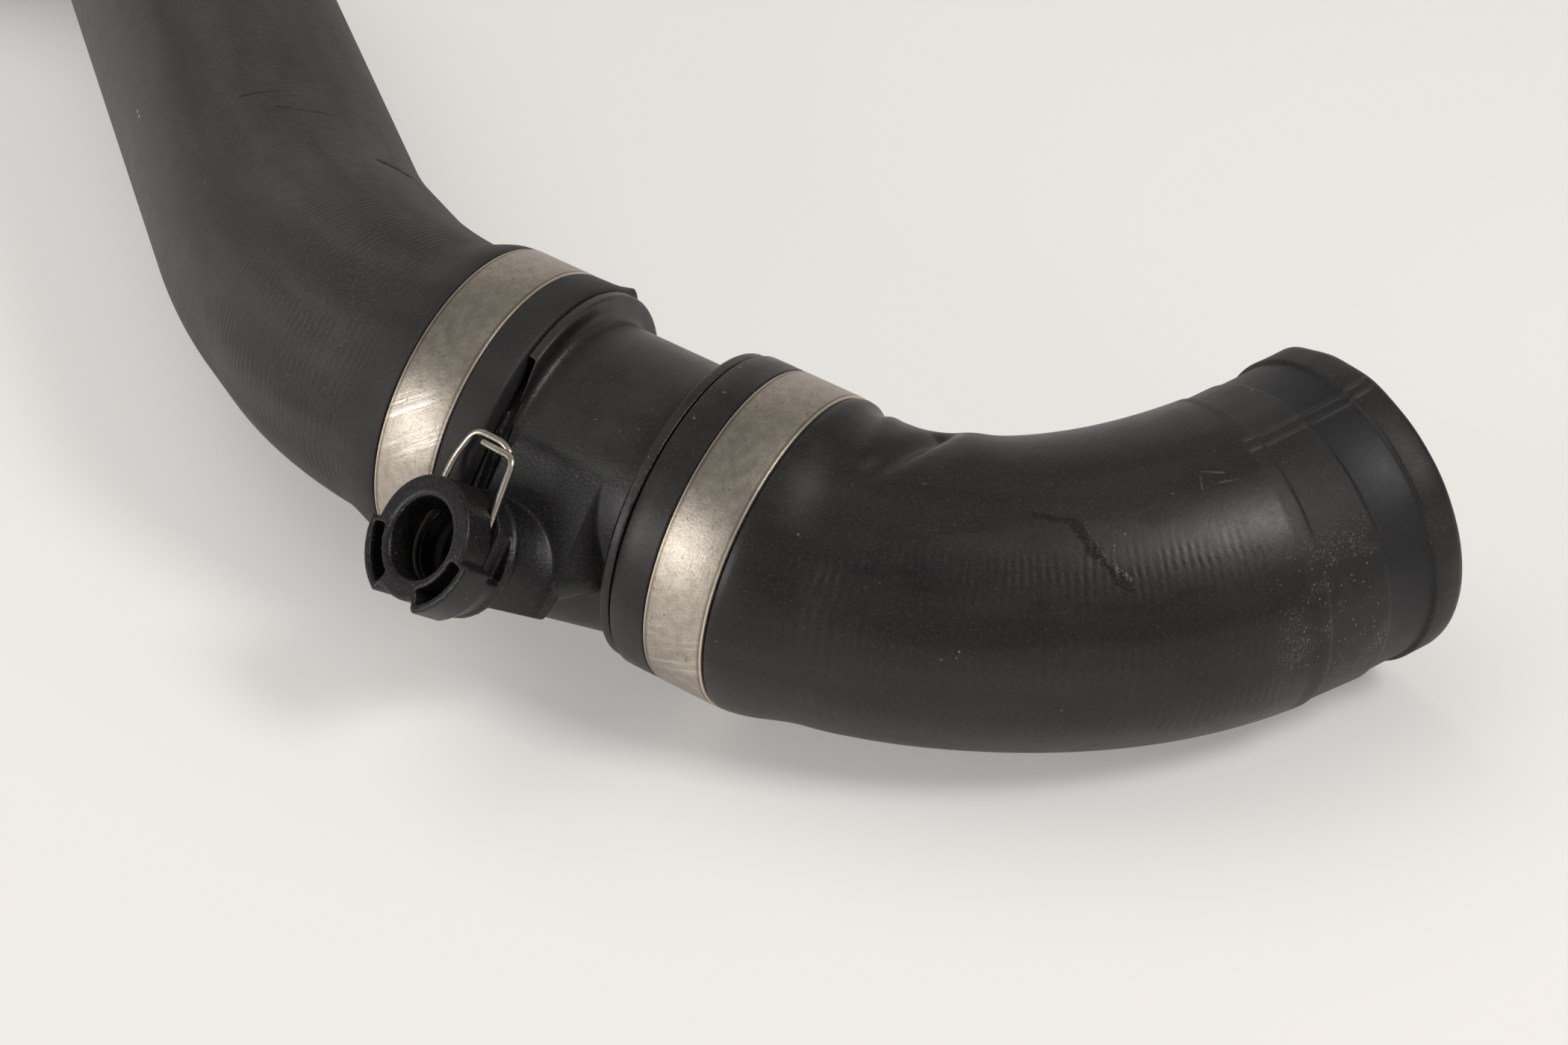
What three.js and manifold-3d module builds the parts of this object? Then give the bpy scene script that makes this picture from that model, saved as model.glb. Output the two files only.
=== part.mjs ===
// Moulded radiator hose set for a car.
//
// Two moulded rubber hoses are crimped with steel bands on the spigots of a plastic connector.
// The connector carries a slanted socket for a temperature sensor, with a wire spring clip.
// The set is modelled in the connector's own frame and then laid down as it rests on a table.
//
// Connector frame, in millimetres: X runs along the pipe from the upper to the lower hose,
// Z points to the side of the sensor socket, and the origin is the middle of the neck.

import * as THREE from 'three';
import { mergeVertices } from 'three/addons/utils/BufferGeometryUtils.js';
import Module from 'manifold-3d';

const wasm = await Module();
wasm.setup();

// Fits
const CLEAR = 0.3;            // gap left between two pieces that touch
const SKIN = 1;               // length by which a cutting tool runs past the face it cuts
const SEGMENTS = 32;          // facets round a pipe
const BEND_STEP = 8;          // degrees between the stations of a bent hose

// Connector: pipe
const NECK_R = 21.5;
const PIPE_BORE_R = 18.6;
const SPIGOT_R = 21.3;
const SPIGOT_END = 31;        // half the length of the connector
const BARB_R = 21.9;
const BARB_PITCH = 4;
const BARB_COUNT = 3;
const FLANGE_R = 25.5;
const FLANGE_FACE = 13.2;     // half the distance over the two flanges
const FLANGE_T = 1.8;
const FLANGE_FILLET = 0.4 * (FLANGE_R - NECK_R);
const FLAT_DEPTH = 2.5;       // flat cut off the upper flange beside the housing

// Connector: housing that carries the sensor socket
const PAD_Z = 21.5;           // flat front of the housing
const PAD_LOW = 19.2;         // its lower edge, below the pipe axis
const PAD_END_X = 5.5;        // its end face towards the lower hose
const KEEL_DEEP = 27.3;       // underside below the pipe axis, next to the upper flange
const KEEL_SHALLOW = 22.6;    // the same next to the lower flange
const KEEL_R = 16.5;
const KEEL_LIFT = 4.5;        // middle of the underside above the pipe axis, towards the socket

// Sensor socket, in its own frame: U to the lower hose, V up, W out of the mouth
const SOCKET_TILT = 19.7;     // lean of the socket towards the upper hose, in degrees
const SOCKET_FACE = [-11.9, -19.3, 34.4];
const BARREL_R = 9.6;
const BARREL_LENGTH = 10;
const SENSOR_R = 6.3;         // bore for the sensor's seal
const SENSOR_DEPTH = 9.6;
const STEM_R = 5.2;           // bore for the sensor's stem
const STEM_DEPTH = 20;
const TIP_R = 3.9;            // bore for the sensor's tip, open to the coolant
const TIP_DEPTH = 38;
const LUG_R = 11.4;
const LUG_ARC = 66;           // degrees
const LUG_ANGLES = [-146, -34];
const LUG_LENGTH = 5.6;       // beyond this the lugs taper off to the barrel
const POCKET_IN_R = 7.8;
const POCKET_OUT_R = 10.2;
const POCKET_ARC = 58;
const POCKET_DEPTH = 4.4;
const RIM_R = 9.95;           // thin rim behind the barrel
const RIM_T = 1;
const BOSS_NECK_R = 9;
const BOSS_R = 11;            // foot of the boss on the housing
const BOSS_DEPTH = 18;        // depth of that foot behind the mouth

// Wire clip
const WIRE_R = 0.5;
const LEG_U = 6.4;            // legs from the socket axis
const CLIP_TOP = 17.3;        // upper end wire above the socket axis
const CLIP_BEND_R = 2;
const CLIP_LOW = 7;           // closed bend below the socket axis
const SLOT_FRONT = 5.2;       // front wall of the clip slot behind the mouth
const WINDOW_BACK = 9.3;      // the slot widens to this depth at the sides
const WINDOW_LOW = 1.6;       // side windows reach this far below the socket axis
const BRIDGE_HALF = 5.1;      // wall left between the two slots at the top

// Hoses
const WALL = 3.7;
const HOSE_R = 23.7;          // free outer radius
const LIP = 6.1;              // hose end beyond the band
const RELAX = 7;              // run over which the hose falls back to its free size
const CUFF_BORE_R = 21.2;
const CUFF_LIP_R = 25.4;
const CUFF_LIP = 5.7;
const CUFF_SEAT_R = 24.6;
const CUFF_SEAT = 8.3;        // seat for a hose clamp
const CUFF_COLLAR_R = 24.9;
const CUFF_COLLAR = 8.4;
const CUFF_SHOULDER = 0.9;

// Crimp bands
const BAND_W = 10.3;
const BAND_R = 26;
const BAND_T = 0.9;
const BAND_EDGE = 0.35;
const BAND_SEGMENTS = 44;

// Runs of the hoses beyond the bands: straights in millimetres, bends as radius, turn and roll
const LOWER_RUN = [
  { straight: 1.5 },
  { radius: 36, turn: 19, roll: -39 },
  { straight: 1.6 },
  { radius: 79, turn: 46, roll: -42 },
  { straight: 14.3 },
];
const LOWER_CUFF_R = 24.7;    // the elbow swells to this radius before its cuff
const UPPER_RUN = [
  { straight: 2.3 },
  { radius: 50.6, turn: 32.9, roll: 67.9 },
  { straight: 13.6 },
  { radius: 114, turn: 10.4, roll: 11.9 },
  { straight: 130 },
  { radius: 66, turn: 50, roll: -148.3 },
  { straight: 30 },
];

// Attitude in which the set lies on a table
const LIE_YAW = -31.3;
const LIE_PITCH = 6.5;
const LIE_ROLL = 49.3;

const deg = THREE.MathUtils.degToRad;

// Solids and booleans

function cleaned(geometry) {
  const plain = geometry.index ? geometry.toNonIndexed() : geometry.clone();
  for (const name of Object.keys(plain.attributes)) {
    if (name !== 'position') plain.deleteAttribute(name);
  }
  return mergeVertices(plain, 1e-4);
}

function facesOf(geometry) {
  const position = geometry.attributes.position.array;
  const index = Array.from(geometry.index.array);
  const kept = [];
  let volume = 0;
  for (let i = 0; i < index.length; i += 3) {
    const [a, b, c] = [index[i], index[i + 1], index[i + 2]];
    if (a === b || b === c || c === a) continue;
    kept.push(a, b, c);
    const p = new THREE.Vector3().fromArray(position, 3 * a);
    const q = new THREE.Vector3().fromArray(position, 3 * b);
    const r = new THREE.Vector3().fromArray(position, 3 * c);
    volume += p.dot(q.cross(r));
  }
  if (volume < 0) {
    for (let i = 0; i < kept.length; i += 3) {
      [kept[i], kept[i + 1]] = [kept[i + 1], kept[i]];
    }
  }
  return kept;
}

function solid(geometry) {
  const merged = cleaned(geometry);
  const mesh = new wasm.Mesh({
    numProp: 3,
    vertProperties: Float32Array.from(merged.attributes.position.array),
    triVerts: Uint32Array.from(facesOf(merged)),
  });
  return new wasm.Manifold(mesh);
}

function toGeometry(body) {
  const mesh = body.getMesh();
  const geometry = new THREE.BufferGeometry();
  geometry.setAttribute('position', new THREE.BufferAttribute(mesh.vertProperties, 3));
  geometry.setIndex(Array.from(mesh.triVerts));
  return geometry;
}

// Revolved and bent forms

function revolved(outline, segments = SEGMENTS, start = 0, sweep = 360) {
  const points = outline.map(([radius, along]) => new THREE.Vector2(radius, along));
  return new THREE.LatheGeometry(points, segments, deg(start), deg(sweep));
}

function ring(inner, outer, from, to, segments = SEGMENTS) {
  const outline = [[inner, from], [outer, from], [outer, to], [inner, to], [inner, from]];
  return revolved(outline, segments);
}

function rod(radius, from, to, segments = SEGMENTS) {
  return revolved([[0, from], [radius, from], [radius, to], [0, to]], segments);
}

// Turns a form revolved about Y so that its axis lies along X
function alongX(geometry) {
  return geometry.rotateZ(-Math.PI / 2);
}

// A run of straights and bends, with a frame carried along it without twist
class Run {
  constructor(start, heading, up) {
    this.legs = [];
    this.length = 0;
    this.end = { point: start.clone(), heading: heading.clone(), up: up.clone() };
  }

  straight(length) {
    this.legs.push({ from: this.length, length, ...this.copyEnd() });
    this.end.point.addScaledVector(this.end.heading, length);
    this.length += length;
    return this;
  }

  bend(radius, turn, roll) {
    const { heading, up } = this.end;
    const towards = up.clone().applyAxisAngle(heading, deg(roll));
    const axis = heading.clone().cross(towards).normalize();
    const centre = this.end.point.clone().addScaledVector(towards, radius);
    const length = radius * deg(turn);
    this.legs.push({ from: this.length, length, axis, centre, radius, turn, ...this.copyEnd() });
    this.end.point.sub(centre).applyAxisAngle(axis, deg(turn)).add(centre);
    heading.applyAxisAngle(axis, deg(turn));
    up.applyAxisAngle(axis, deg(turn));
    this.length += length;
    return this;
  }

  copyEnd() {
    return {
      point: this.end.point.clone(),
      heading: this.end.heading.clone(),
      up: this.end.up.clone(),
    };
  }

  follow(steps) {
    for (const step of steps) {
      if ('straight' in step) this.straight(step.straight);
      else this.bend(step.radius, step.turn, step.roll);
    }
    return this;
  }

  frameAt(along) {
    const last = this.legs.length - 1;
    const index = this.legs.findIndex((leg, i) => i === last || along <= leg.from + leg.length);
    const leg = this.legs[index];
    const local = along - leg.from;
    const point = leg.point.clone();
    const heading = leg.heading.clone();
    const up = leg.up.clone();
    if (leg.axis) {
      const angle = local / leg.radius;
      point.sub(leg.centre).applyAxisAngle(leg.axis, angle).add(leg.centre);
      heading.applyAxisAngle(leg.axis, angle);
      up.applyAxisAngle(leg.axis, angle);
    } else {
      point.addScaledVector(heading, local);
    }
    return { point, up, side: heading.clone().cross(up), heading };
  }

  // Stations inside the bends, close enough to keep them round
  stations(degreesApart) {
    const list = [];
    for (const leg of this.legs.filter((item) => item.axis)) {
      const count = Math.ceil(leg.turn / degreesApart);
      for (let i = 0; i <= count; i += 1) list.push(leg.from + (leg.length * i) / count);
    }
    return list;
  }
}

// Adds the stations to an outline of [radius, along] points, so that it can be bent
function withStations(outline, stations) {
  const dense = [outline[0]];
  for (let i = 1; i < outline.length; i += 1) {
    const [r0, s0] = outline[i - 1];
    const [r1, s1] = outline[i];
    const between = stations
      .filter((s) => (s - s0) * (s - s1) < 0)
      .filter((s) => Math.min(Math.abs(s - s0), Math.abs(s - s1)) > SKIN)
      .sort((a, b) => (s1 > s0 ? a - b : b - a));
    for (const s of between) dense.push([r0 + ((r1 - r0) * (s - s0)) / (s1 - s0), s]);
    dense.push([r1, s1]);
  }
  return dense;
}

// Carries a form revolved about Y onto a run: its height becomes the way along the run
function bent(geometry, run) {
  const position = geometry.attributes.position;
  for (let i = 0; i < position.count; i += 1) {
    const frame = run.frameAt(position.getY(i));
    const place = frame.point
      .addScaledVector(frame.up, position.getX(i))
      .addScaledVector(frame.side, position.getZ(i));
    position.setXYZ(i, place.x, place.y, place.z);
  }
  return geometry;
}

// Hoses

const HOSE_START = FLANGE_FACE + CLEAR;
const BAND_START = HOSE_START + LIP;
const BAND_END = BAND_START + BAND_W;
const SEAT_R = BAND_R - BAND_T - CLEAR;
const SOCKET_BORE_R = BARB_R + CLEAR;
const STRETCHED_R = SOCKET_BORE_R + WALL;
const SPIGOT_REACH = SPIGOT_END - HOSE_START;
const BORE_R = HOSE_R - WALL;

function hoseOuter(total, cuffBodyR) {
  const bandFrom = LIP - CLEAR;
  const bandTo = LIP + BAND_W + CLEAR;
  const relaxed = bandTo + RELAX;
  const lipFrom = total - CUFF_LIP;
  const seatFrom = lipFrom - CUFF_SEAT;
  const collarFrom = seatFrom - CUFF_COLLAR;
  const swellFrom = Math.max(relaxed + RELAX, collarFrom - 45);
  const swellMid = (swellFrom + collarFrom) / 2;
  return [
    [STRETCHED_R - 0.4, 0],
    [STRETCHED_R, 0.5],
    [STRETCHED_R, bandFrom],
    [SEAT_R, bandFrom],
    [SEAT_R, bandTo],
    [STRETCHED_R, bandTo],
    [STRETCHED_R - 0.2, bandTo + 1.6],
    [(STRETCHED_R + HOSE_R) / 2, bandTo + RELAX * 0.55],
    [HOSE_R, relaxed],
    [HOSE_R, swellFrom],
    [(HOSE_R + cuffBodyR) / 2, swellMid],
    [cuffBodyR, collarFrom - CUFF_SHOULDER],
    [CUFF_COLLAR_R, collarFrom],
    [CUFF_COLLAR_R, seatFrom],
    [CUFF_SEAT_R, seatFrom],
    [CUFF_SEAT_R, lipFrom],
    [CUFF_LIP_R, lipFrom],
    [CUFF_LIP_R, total - 0.6],
    [CUFF_LIP_R - 0.5, total],
  ];
}

function hoseInner(total) {
  const spigotPast = SPIGOT_REACH + CLEAR + 0.7;
  return [
    [CUFF_BORE_R, total],
    [CUFF_BORE_R, total - CUFF_LIP - CUFF_SEAT - CUFF_COLLAR],
    [BORE_R, total - CUFF_LIP - CUFF_SEAT - CUFF_COLLAR - 9],
    [BORE_R, spigotPast + RELAX],
    [SOCKET_BORE_R, spigotPast],
    [SOCKET_BORE_R, 0],
  ];
}

function hoseRun(side, steps) {
  const heading = new THREE.Vector3(side, 0, 0);
  const run = new Run(heading.clone().multiplyScalar(HOSE_START), heading, new THREE.Vector3(0, 1, 0));
  return run.straight(BAND_END - HOSE_START).follow(steps);
}

function hose(run, cuffBodyR) {
  const stations = run.stations(BEND_STEP);
  const outer = withStations(hoseOuter(run.length, cuffBodyR), stations);
  const inner = withStations(hoseInner(run.length), stations);
  const outline = [...outer, ...inner, outer[0]];
  return toGeometry(solid(bent(revolved(outline), run)));
}

// Crimp bands

function crimpBand(side) {
  const inner = BAND_R - BAND_T;
  const outline = [
    [inner, BAND_START],
    [BAND_R - BAND_EDGE, BAND_START],
    [BAND_R, BAND_START + BAND_EDGE],
    [BAND_R, BAND_END - BAND_EDGE],
    [BAND_R - BAND_EDGE, BAND_END],
    [inner, BAND_END],
    [inner, BAND_START],
  ];
  const geometry = alongX(revolved(outline, BAND_SEGMENTS));
  if (side < 0) geometry.rotateY(Math.PI);
  return toGeometry(solid(geometry));
}

// Connector

// Outline of the pipe from its middle to one end
function pipeOutline() {
  const flangeIn = FLANGE_FACE - FLANGE_T;
  const outline = [
    [NECK_R, 0],
    [NECK_R, flangeIn - FLANGE_FILLET],
    [NECK_R + FLANGE_FILLET * 0.3, flangeIn - FLANGE_FILLET * 0.3],
    [NECK_R + FLANGE_FILLET, flangeIn],
    [FLANGE_R - 0.3, flangeIn],
    [FLANGE_R, flangeIn + 0.3],
    [FLANGE_R, FLANGE_FACE],
    [SPIGOT_R, FLANGE_FACE],
  ];
  const firstBarb = SPIGOT_END - BARB_COUNT * BARB_PITCH;
  for (let i = 0; i < BARB_COUNT; i += 1) {
    const from = firstBarb + i * BARB_PITCH;
    outline.push([SPIGOT_R, from], [BARB_R, from + 0.4], [BARB_R - 0.1, from + 1]);
    outline.push([SPIGOT_R - 0.2, from + BARB_PITCH - 0.3]);
  }
  outline.push([PIPE_BORE_R + 1.2, SPIGOT_END]);
  return outline;
}

function pipe() {
  const half = pipeOutline();
  const mirrored = half.slice(1).reverse().map(([r, x]) => [r, -x]);
  return solid(alongX(revolved([[0, -SPIGOT_END], ...mirrored, ...half, [0, SPIGOT_END]])));
}

function box(x0, x1, y0, y1, z0, z1) {
  const geometry = new THREE.BoxGeometry(x1 - x0, y1 - y0, z1 - z0);
  return geometry.translate((x0 + x1) / 2, (y0 + y1) / 2, (z0 + z1) / 2);
}

// Flat-fronted block that blends tangentially into the front of the pipe
function pad() {
  const shape = new THREE.Shape();
  shape.moveTo(0, 0);
  shape.lineTo(0, PAD_Z);
  shape.lineTo(-PAD_LOW + 1.2, PAD_Z);
  shape.quadraticCurveTo(-PAD_LOW - 0.6, PAD_Z, -PAD_LOW - 1, PAD_Z - 3);
  shape.lineTo(-PAD_LOW, PAD_Z / 2);
  shape.lineTo(-PAD_LOW + 1, 0);
  const length = PAD_END_X + FLANGE_FACE - FLANGE_T;
  const geometry = new THREE.ExtrudeGeometry(shape, {
    depth: length,
    bevelEnabled: false,
    curveSegments: 5,
  });
  // Shape X and Y become the connector's Y and Z, and the depth runs along X
  const basis = new THREE.Matrix4().set(0, 0, 1, PAD_END_X - length, 1, 0, 0, 0, 0, 1, 0, 0, 0, 0, 0, 1);
  return solid(geometry.applyMatrix4(basis));
}

// Rounded underside, deepest below the socket and fading out at the lower flange
function keel() {
  const flangeIn = FLANGE_FACE - FLANGE_T;
  const geometry = new THREE.CylinderGeometry(KEEL_R, KEEL_R, 2 * flangeIn, SEGMENTS);
  alongX(geometry);
  const position = geometry.attributes.position;
  for (let i = 0; i < position.count; i += 1) {
    const share = (position.getX(i) + flangeIn) / (2 * flangeIn);
    const deep = THREE.MathUtils.lerp(KEEL_DEEP, KEEL_SHALLOW, share);
    position.setY(i, position.getY(i) - (deep - KEEL_R));
    position.setZ(i, position.getZ(i) + THREE.MathUtils.lerp(KEEL_LIFT, KEEL_LIFT / 2, share));
  }
  return solid(geometry);
}

// Sensor socket

// Carries a form from the socket frame, with its axis along Y out of the mouth, to its place
function onSocket(geometry) {
  return geometry
    .rotateX(Math.PI / 2)
    .rotateY(-deg(SOCKET_TILT))
    .translate(...SOCKET_FACE);
}

// The same for forms drawn as U, V and W
function inSocket(geometry) {
  return geometry.rotateY(-deg(SOCKET_TILT)).translate(...SOCKET_FACE);
}

// Part of a ring about the socket axis, round the given middle angle
function sector(inner, outer, angle, arc, depthFrom, depthTo) {
  const shape = new THREE.Shape();
  const from = deg(angle - arc / 2);
  const to = deg(angle + arc / 2);
  shape.absarc(0, 0, outer, from, to, false);
  shape.absarc(0, 0, inner, to, from, true);
  const geometry = new THREE.ExtrudeGeometry(shape, {
    depth: depthTo - depthFrom,
    bevelEnabled: false,
    curveSegments: 9,
  });
  return solid(inSocket(geometry.translate(0, 0, -depthTo)));
}

// The boss grows out of the housing and goes no lower than its underside
function boss() {
  const body = solid(onSocket(revolved([
    [0, -BARREL_LENGTH],
    [RIM_R - 0.3, -BARREL_LENGTH],
    [RIM_R, -BARREL_LENGTH - 0.3],
    [RIM_R, -BARREL_LENGTH - RIM_T],
    [BOSS_NECK_R, -BARREL_LENGTH - RIM_T],
    [BOSS_R - 0.6, -BOSS_DEPTH + 2],
    [BOSS_R, -BOSS_DEPTH],
    [BOSS_R, -STEM_DEPTH],
    [0, -STEM_DEPTH],
  ])));
  const flangeIn = FLANGE_FACE - FLANGE_T;
  const slope = (KEEL_DEEP - KEEL_SHALLOW) / (2 * flangeIn);
  const low = (x) => -(KEEL_DEEP + KEEL_SHALLOW) / 2 + slope * x;
  const reach = 2 * FLANGE_R;
  const shape = new THREE.Shape();
  shape.moveTo(-reach, low(-reach));
  shape.lineTo(reach, low(reach));
  shape.lineTo(reach, reach);
  shape.lineTo(-reach, reach);
  const allowed = new THREE.ExtrudeGeometry(shape, { depth: reach, bevelEnabled: false });
  const rim = solid(onSocket(rod(RIM_R + SKIN, -BARREL_LENGTH - RIM_T, 0)));
  return body.intersect(solid(allowed).add(rim));
}

function lugs() {
  const arcs = LUG_ANGLES.map((angle) => sector(SENSOR_R + 1, LUG_R, angle, LUG_ARC, 0, BARREL_LENGTH));
  const taper = solid(onSocket(revolved([
    [0, 0],
    [LUG_R - 0.2, 0],
    [LUG_R, -0.2],
    [LUG_R, -LUG_LENGTH],
    [BARREL_R, -BARREL_LENGTH],
    [0, -BARREL_LENGTH],
  ])));
  return arcs[0].add(arcs[1]).intersect(taper);
}

function socketBody() {
  const barrel = solid(onSocket(revolved([
    [0, 0],
    [BARREL_R - 0.3, 0],
    [BARREL_R, -0.3],
    [BARREL_R, -BARREL_LENGTH - RIM_T],
    [0, -BARREL_LENGTH - RIM_T],
  ])));
  return barrel.add(boss()).add(lugs());
}

function socketBore() {
  return solid(onSocket(revolved([
    [0, SKIN],
    [SENSOR_R + 0.5, SKIN],
    [SENSOR_R + 0.5, 0],
    [SENSOR_R, -0.5],
    [SENSOR_R, -SENSOR_DEPTH],
    [STEM_R, -SENSOR_DEPTH - 1],
    [STEM_R, -STEM_DEPTH],
    [TIP_R, -STEM_DEPTH - 1],
    [TIP_R, -TIP_DEPTH],
    [0, -TIP_DEPTH],
  ], 28)));
}

// Slots that hold the clip: a channel on each side, a window to the outside and a round bottom
const SLOT_BACK = SLOT_FRONT + 2 * WIRE_R + 2 * CLEAR;
const CHANNEL_OUT = CLIP_LOW + WIRE_R + CLEAR;

// A box in the socket frame, drawn for the right side and mirrored for the left
function sideBox(side, uFrom, uTo, vFrom, vTo, depthFrom, depthTo) {
  const u = [side * uFrom, side * uTo].sort((a, b) => a - b);
  return solid(inSocket(box(u[0], u[1], vFrom, vTo, -depthTo, -depthFrom)));
}

function clipSlots() {
  const reach = LUG_R + SKIN;
  const roundBottom = solid(onSocket(rod(CHANNEL_OUT, -SLOT_BACK, -SLOT_FRONT, 32)));
  let cut = roundBottom;
  cut = cut.subtract(sideBox(1, -reach, reach, 0, reach, SLOT_FRONT - SKIN, SLOT_BACK + SKIN));
  for (const side of [-1, 1]) {
    cut = cut.add(sideBox(side, BRIDGE_HALF, reach, -WINDOW_LOW, reach, SLOT_FRONT, SLOT_BACK));
    cut = cut.add(sideBox(side, CHANNEL_OUT, reach, -WINDOW_LOW, reach, SLOT_FRONT, WINDOW_BACK));
  }
  return cut;
}

// Room for the end of the upper hose and its band under the overhanging socket
function hoseRelief() {
  return solid(alongX(ring(SPIGOT_R + CLEAR, BAND_R + 2 * CLEAR, -BAND_END, -FLANGE_FACE)));
}

// Flat on the upper flange and the wedge-shaped recess beside it, which let the clip be reached
const FLAT_Z = FLANGE_R - FLAT_DEPTH;
function flangeFlat() {
  const flangeIn = -FLANGE_FACE + FLANGE_T;
  const half = Math.sqrt(FLANGE_R ** 2 - FLAT_Z ** 2);
  const flat = box(-FLANGE_FACE - SKIN, flangeIn + SKIN, -half - SKIN, half, FLAT_Z, FLANGE_R + SKIN);
  const wedge = box(-FLANGE_T, 0, -2 * half, 0, -SKIN, FLANGE_R);
  wedge.rotateZ(deg(4));
  wedge.translate(flangeIn - 0.6, half, SPIGOT_R + CLEAR);
  const recess = solid(wedge).subtract(solid(alongX(rod(SPIGOT_R + CLEAR, -SPIGOT_END, 0))));
  return solid(flat).add(recess);
}

function connector() {
  let housing = pad().add(keel());
  housing = housing.add(socketBody());
  housing = housing.subtract(hoseRelief());
  let body = pipe().subtract(flangeFlat()).add(housing);
  const waterway = [
    [0, -SPIGOT_END - SKIN],
    [PIPE_BORE_R, -SPIGOT_END - SKIN],
    [PIPE_BORE_R, SPIGOT_END + SKIN],
    [0, SPIGOT_END + SKIN],
  ];
  body = body.subtract(solid(alongX(revolved(waterway))));
  body = body.subtract(socketBore()).subtract(clipSlots());
  for (const angle of LUG_ANGLES) {
    body = body.subtract(sector(POCKET_IN_R, POCKET_OUT_R, angle, POCKET_ARC, -SKIN, POCKET_DEPTH));
  }
  return toGeometry(body);
}

// Wire clip: a rectangle of spring wire whose free ends pass each other at the top

function clipPath() {
  const w = -(SLOT_FRONT + CLEAR + WIRE_R);
  const at = (u, v) => new THREE.Vector3(u, v, w);
  const path = new THREE.CurvePath();
  const topLeft = CLIP_TOP;
  const topRight = CLIP_TOP - 2 * WIRE_R - 0.15;
  const lean = 0.35;
  const rightTop = LEG_U - 1.1;
  const rightLow = LEG_U + lean;
  const line = (a, b) => path.add(new THREE.LineCurve3(a, b));
  const corner = (a, b, c) => path.add(new THREE.QuadraticBezierCurve3(a, b, c));
  line(at(2.8, topLeft), at(-LEG_U + CLIP_BEND_R, topLeft));
  corner(at(-LEG_U + CLIP_BEND_R, topLeft), at(-LEG_U, topLeft), at(-LEG_U, topLeft - CLIP_BEND_R));
  line(at(-LEG_U, topLeft - CLIP_BEND_R), at(-LEG_U, 0));
  const round = new THREE.EllipseCurve(0, 0, LEG_U, CLIP_LOW, Math.PI, 1.5 * Math.PI);
  const rest = new THREE.EllipseCurve(0, 0, rightLow, CLIP_LOW, 1.5 * Math.PI, 2 * Math.PI);
  for (const arc of [round, rest]) {
    const points = arc.getPoints(8).map((p) => at(p.x, p.y));
    path.add(new THREE.CatmullRomCurve3(points));
  }
  const bendStart = at(rightTop + 0.15, topRight - 1.5);
  line(at(rightLow, 0), bendStart);
  corner(bendStart, at(rightTop, topRight), at(rightTop - 1.7, topRight));
  line(at(rightTop - 1.7, topRight), at(-1.9, topRight));
  return path;
}

function clip() {
  const section = new THREE.Shape().absarc(0, 0, WIRE_R, 0, 2 * Math.PI, false);
  const geometry = new THREE.ExtrudeGeometry(section, {
    steps: 60,
    curveSegments: 4,
    bevelEnabled: false,
    extrudePath: clipPath(),
  });
  return toGeometry(solid(inSocket(geometry)));
}

// Assembly

const rubber = { color: 0x1b1b1d, roughness: 0.6, metalness: 0 };
const nylon = { color: 0x151516, roughness: 0.45, metalness: 0 };
const steel = { color: 0x8f8b84, roughness: 0.4, metalness: 1 };
const spring = { color: 0xa39a8a, roughness: 0.25, metalness: 1 };

const set = new THREE.Group();

function place(name, geometry, finish) {
  const mesh = new THREE.Mesh(geometry, new THREE.MeshStandardMaterial(finish));
  mesh.name = name;
  set.add(mesh);
  return mesh;
}

place('upper_hose', hose(hoseRun(-1, UPPER_RUN), CUFF_COLLAR_R + 0.3), rubber);
place('lower_hose', hose(hoseRun(1, LOWER_RUN), LOWER_CUFF_R), rubber);
place('connector', connector(), nylon);
place('upper_crimp_band', crimpBand(-1), steel);
place('lower_crimp_band', crimpBand(1), steel);
place('sensor_clip', clip(), spring);

// Lays the set down: the lowest point comes to the table and the middle to the origin
set.rotation.set(deg(LIE_ROLL), deg(LIE_PITCH), deg(LIE_YAW), 'ZYX');
set.updateMatrixWorld(true);
const bounds = new THREE.Box3().setFromObject(set, true);
const middle = bounds.getCenter(new THREE.Vector3());
set.position.set(-middle.x, -middle.y, -bounds.min.z);

const group = new THREE.Group();
group.add(set);

export default group;
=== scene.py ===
# %% [markdown]
# # A moulded radiator hose set
#
# Two rubber hoses are crimped with steel bands on a black plastic connector.
# The connector has a slanted socket for a temperature sensor, locked by a wire clip.
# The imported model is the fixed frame: it gives every piece its place and its size.
# The cells below dress it with smooth surfaces and with finishes made from nodes.

# %% Load the frame
from math import atan2, cos, hypot, pi, radians, sin

import bpy
import numpy as np
from mathutils import Euler, Matrix, Vector


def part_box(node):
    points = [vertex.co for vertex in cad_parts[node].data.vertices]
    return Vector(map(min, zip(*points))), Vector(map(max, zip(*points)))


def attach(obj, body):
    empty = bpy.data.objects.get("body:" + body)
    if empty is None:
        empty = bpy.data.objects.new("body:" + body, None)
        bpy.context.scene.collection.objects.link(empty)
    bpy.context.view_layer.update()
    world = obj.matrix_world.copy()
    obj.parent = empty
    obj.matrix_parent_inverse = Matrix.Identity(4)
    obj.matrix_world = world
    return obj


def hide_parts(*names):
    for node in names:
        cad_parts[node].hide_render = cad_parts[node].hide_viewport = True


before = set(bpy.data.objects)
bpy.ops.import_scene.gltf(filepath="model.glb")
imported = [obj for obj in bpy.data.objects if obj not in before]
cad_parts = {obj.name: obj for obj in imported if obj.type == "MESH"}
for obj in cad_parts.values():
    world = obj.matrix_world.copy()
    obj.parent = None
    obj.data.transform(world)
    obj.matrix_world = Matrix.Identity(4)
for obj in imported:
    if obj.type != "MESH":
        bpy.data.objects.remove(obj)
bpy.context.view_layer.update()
for thing in bpy.context.selected_objects:
    thing.select_set(False)
print("nodes:", sorted(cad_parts))

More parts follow.
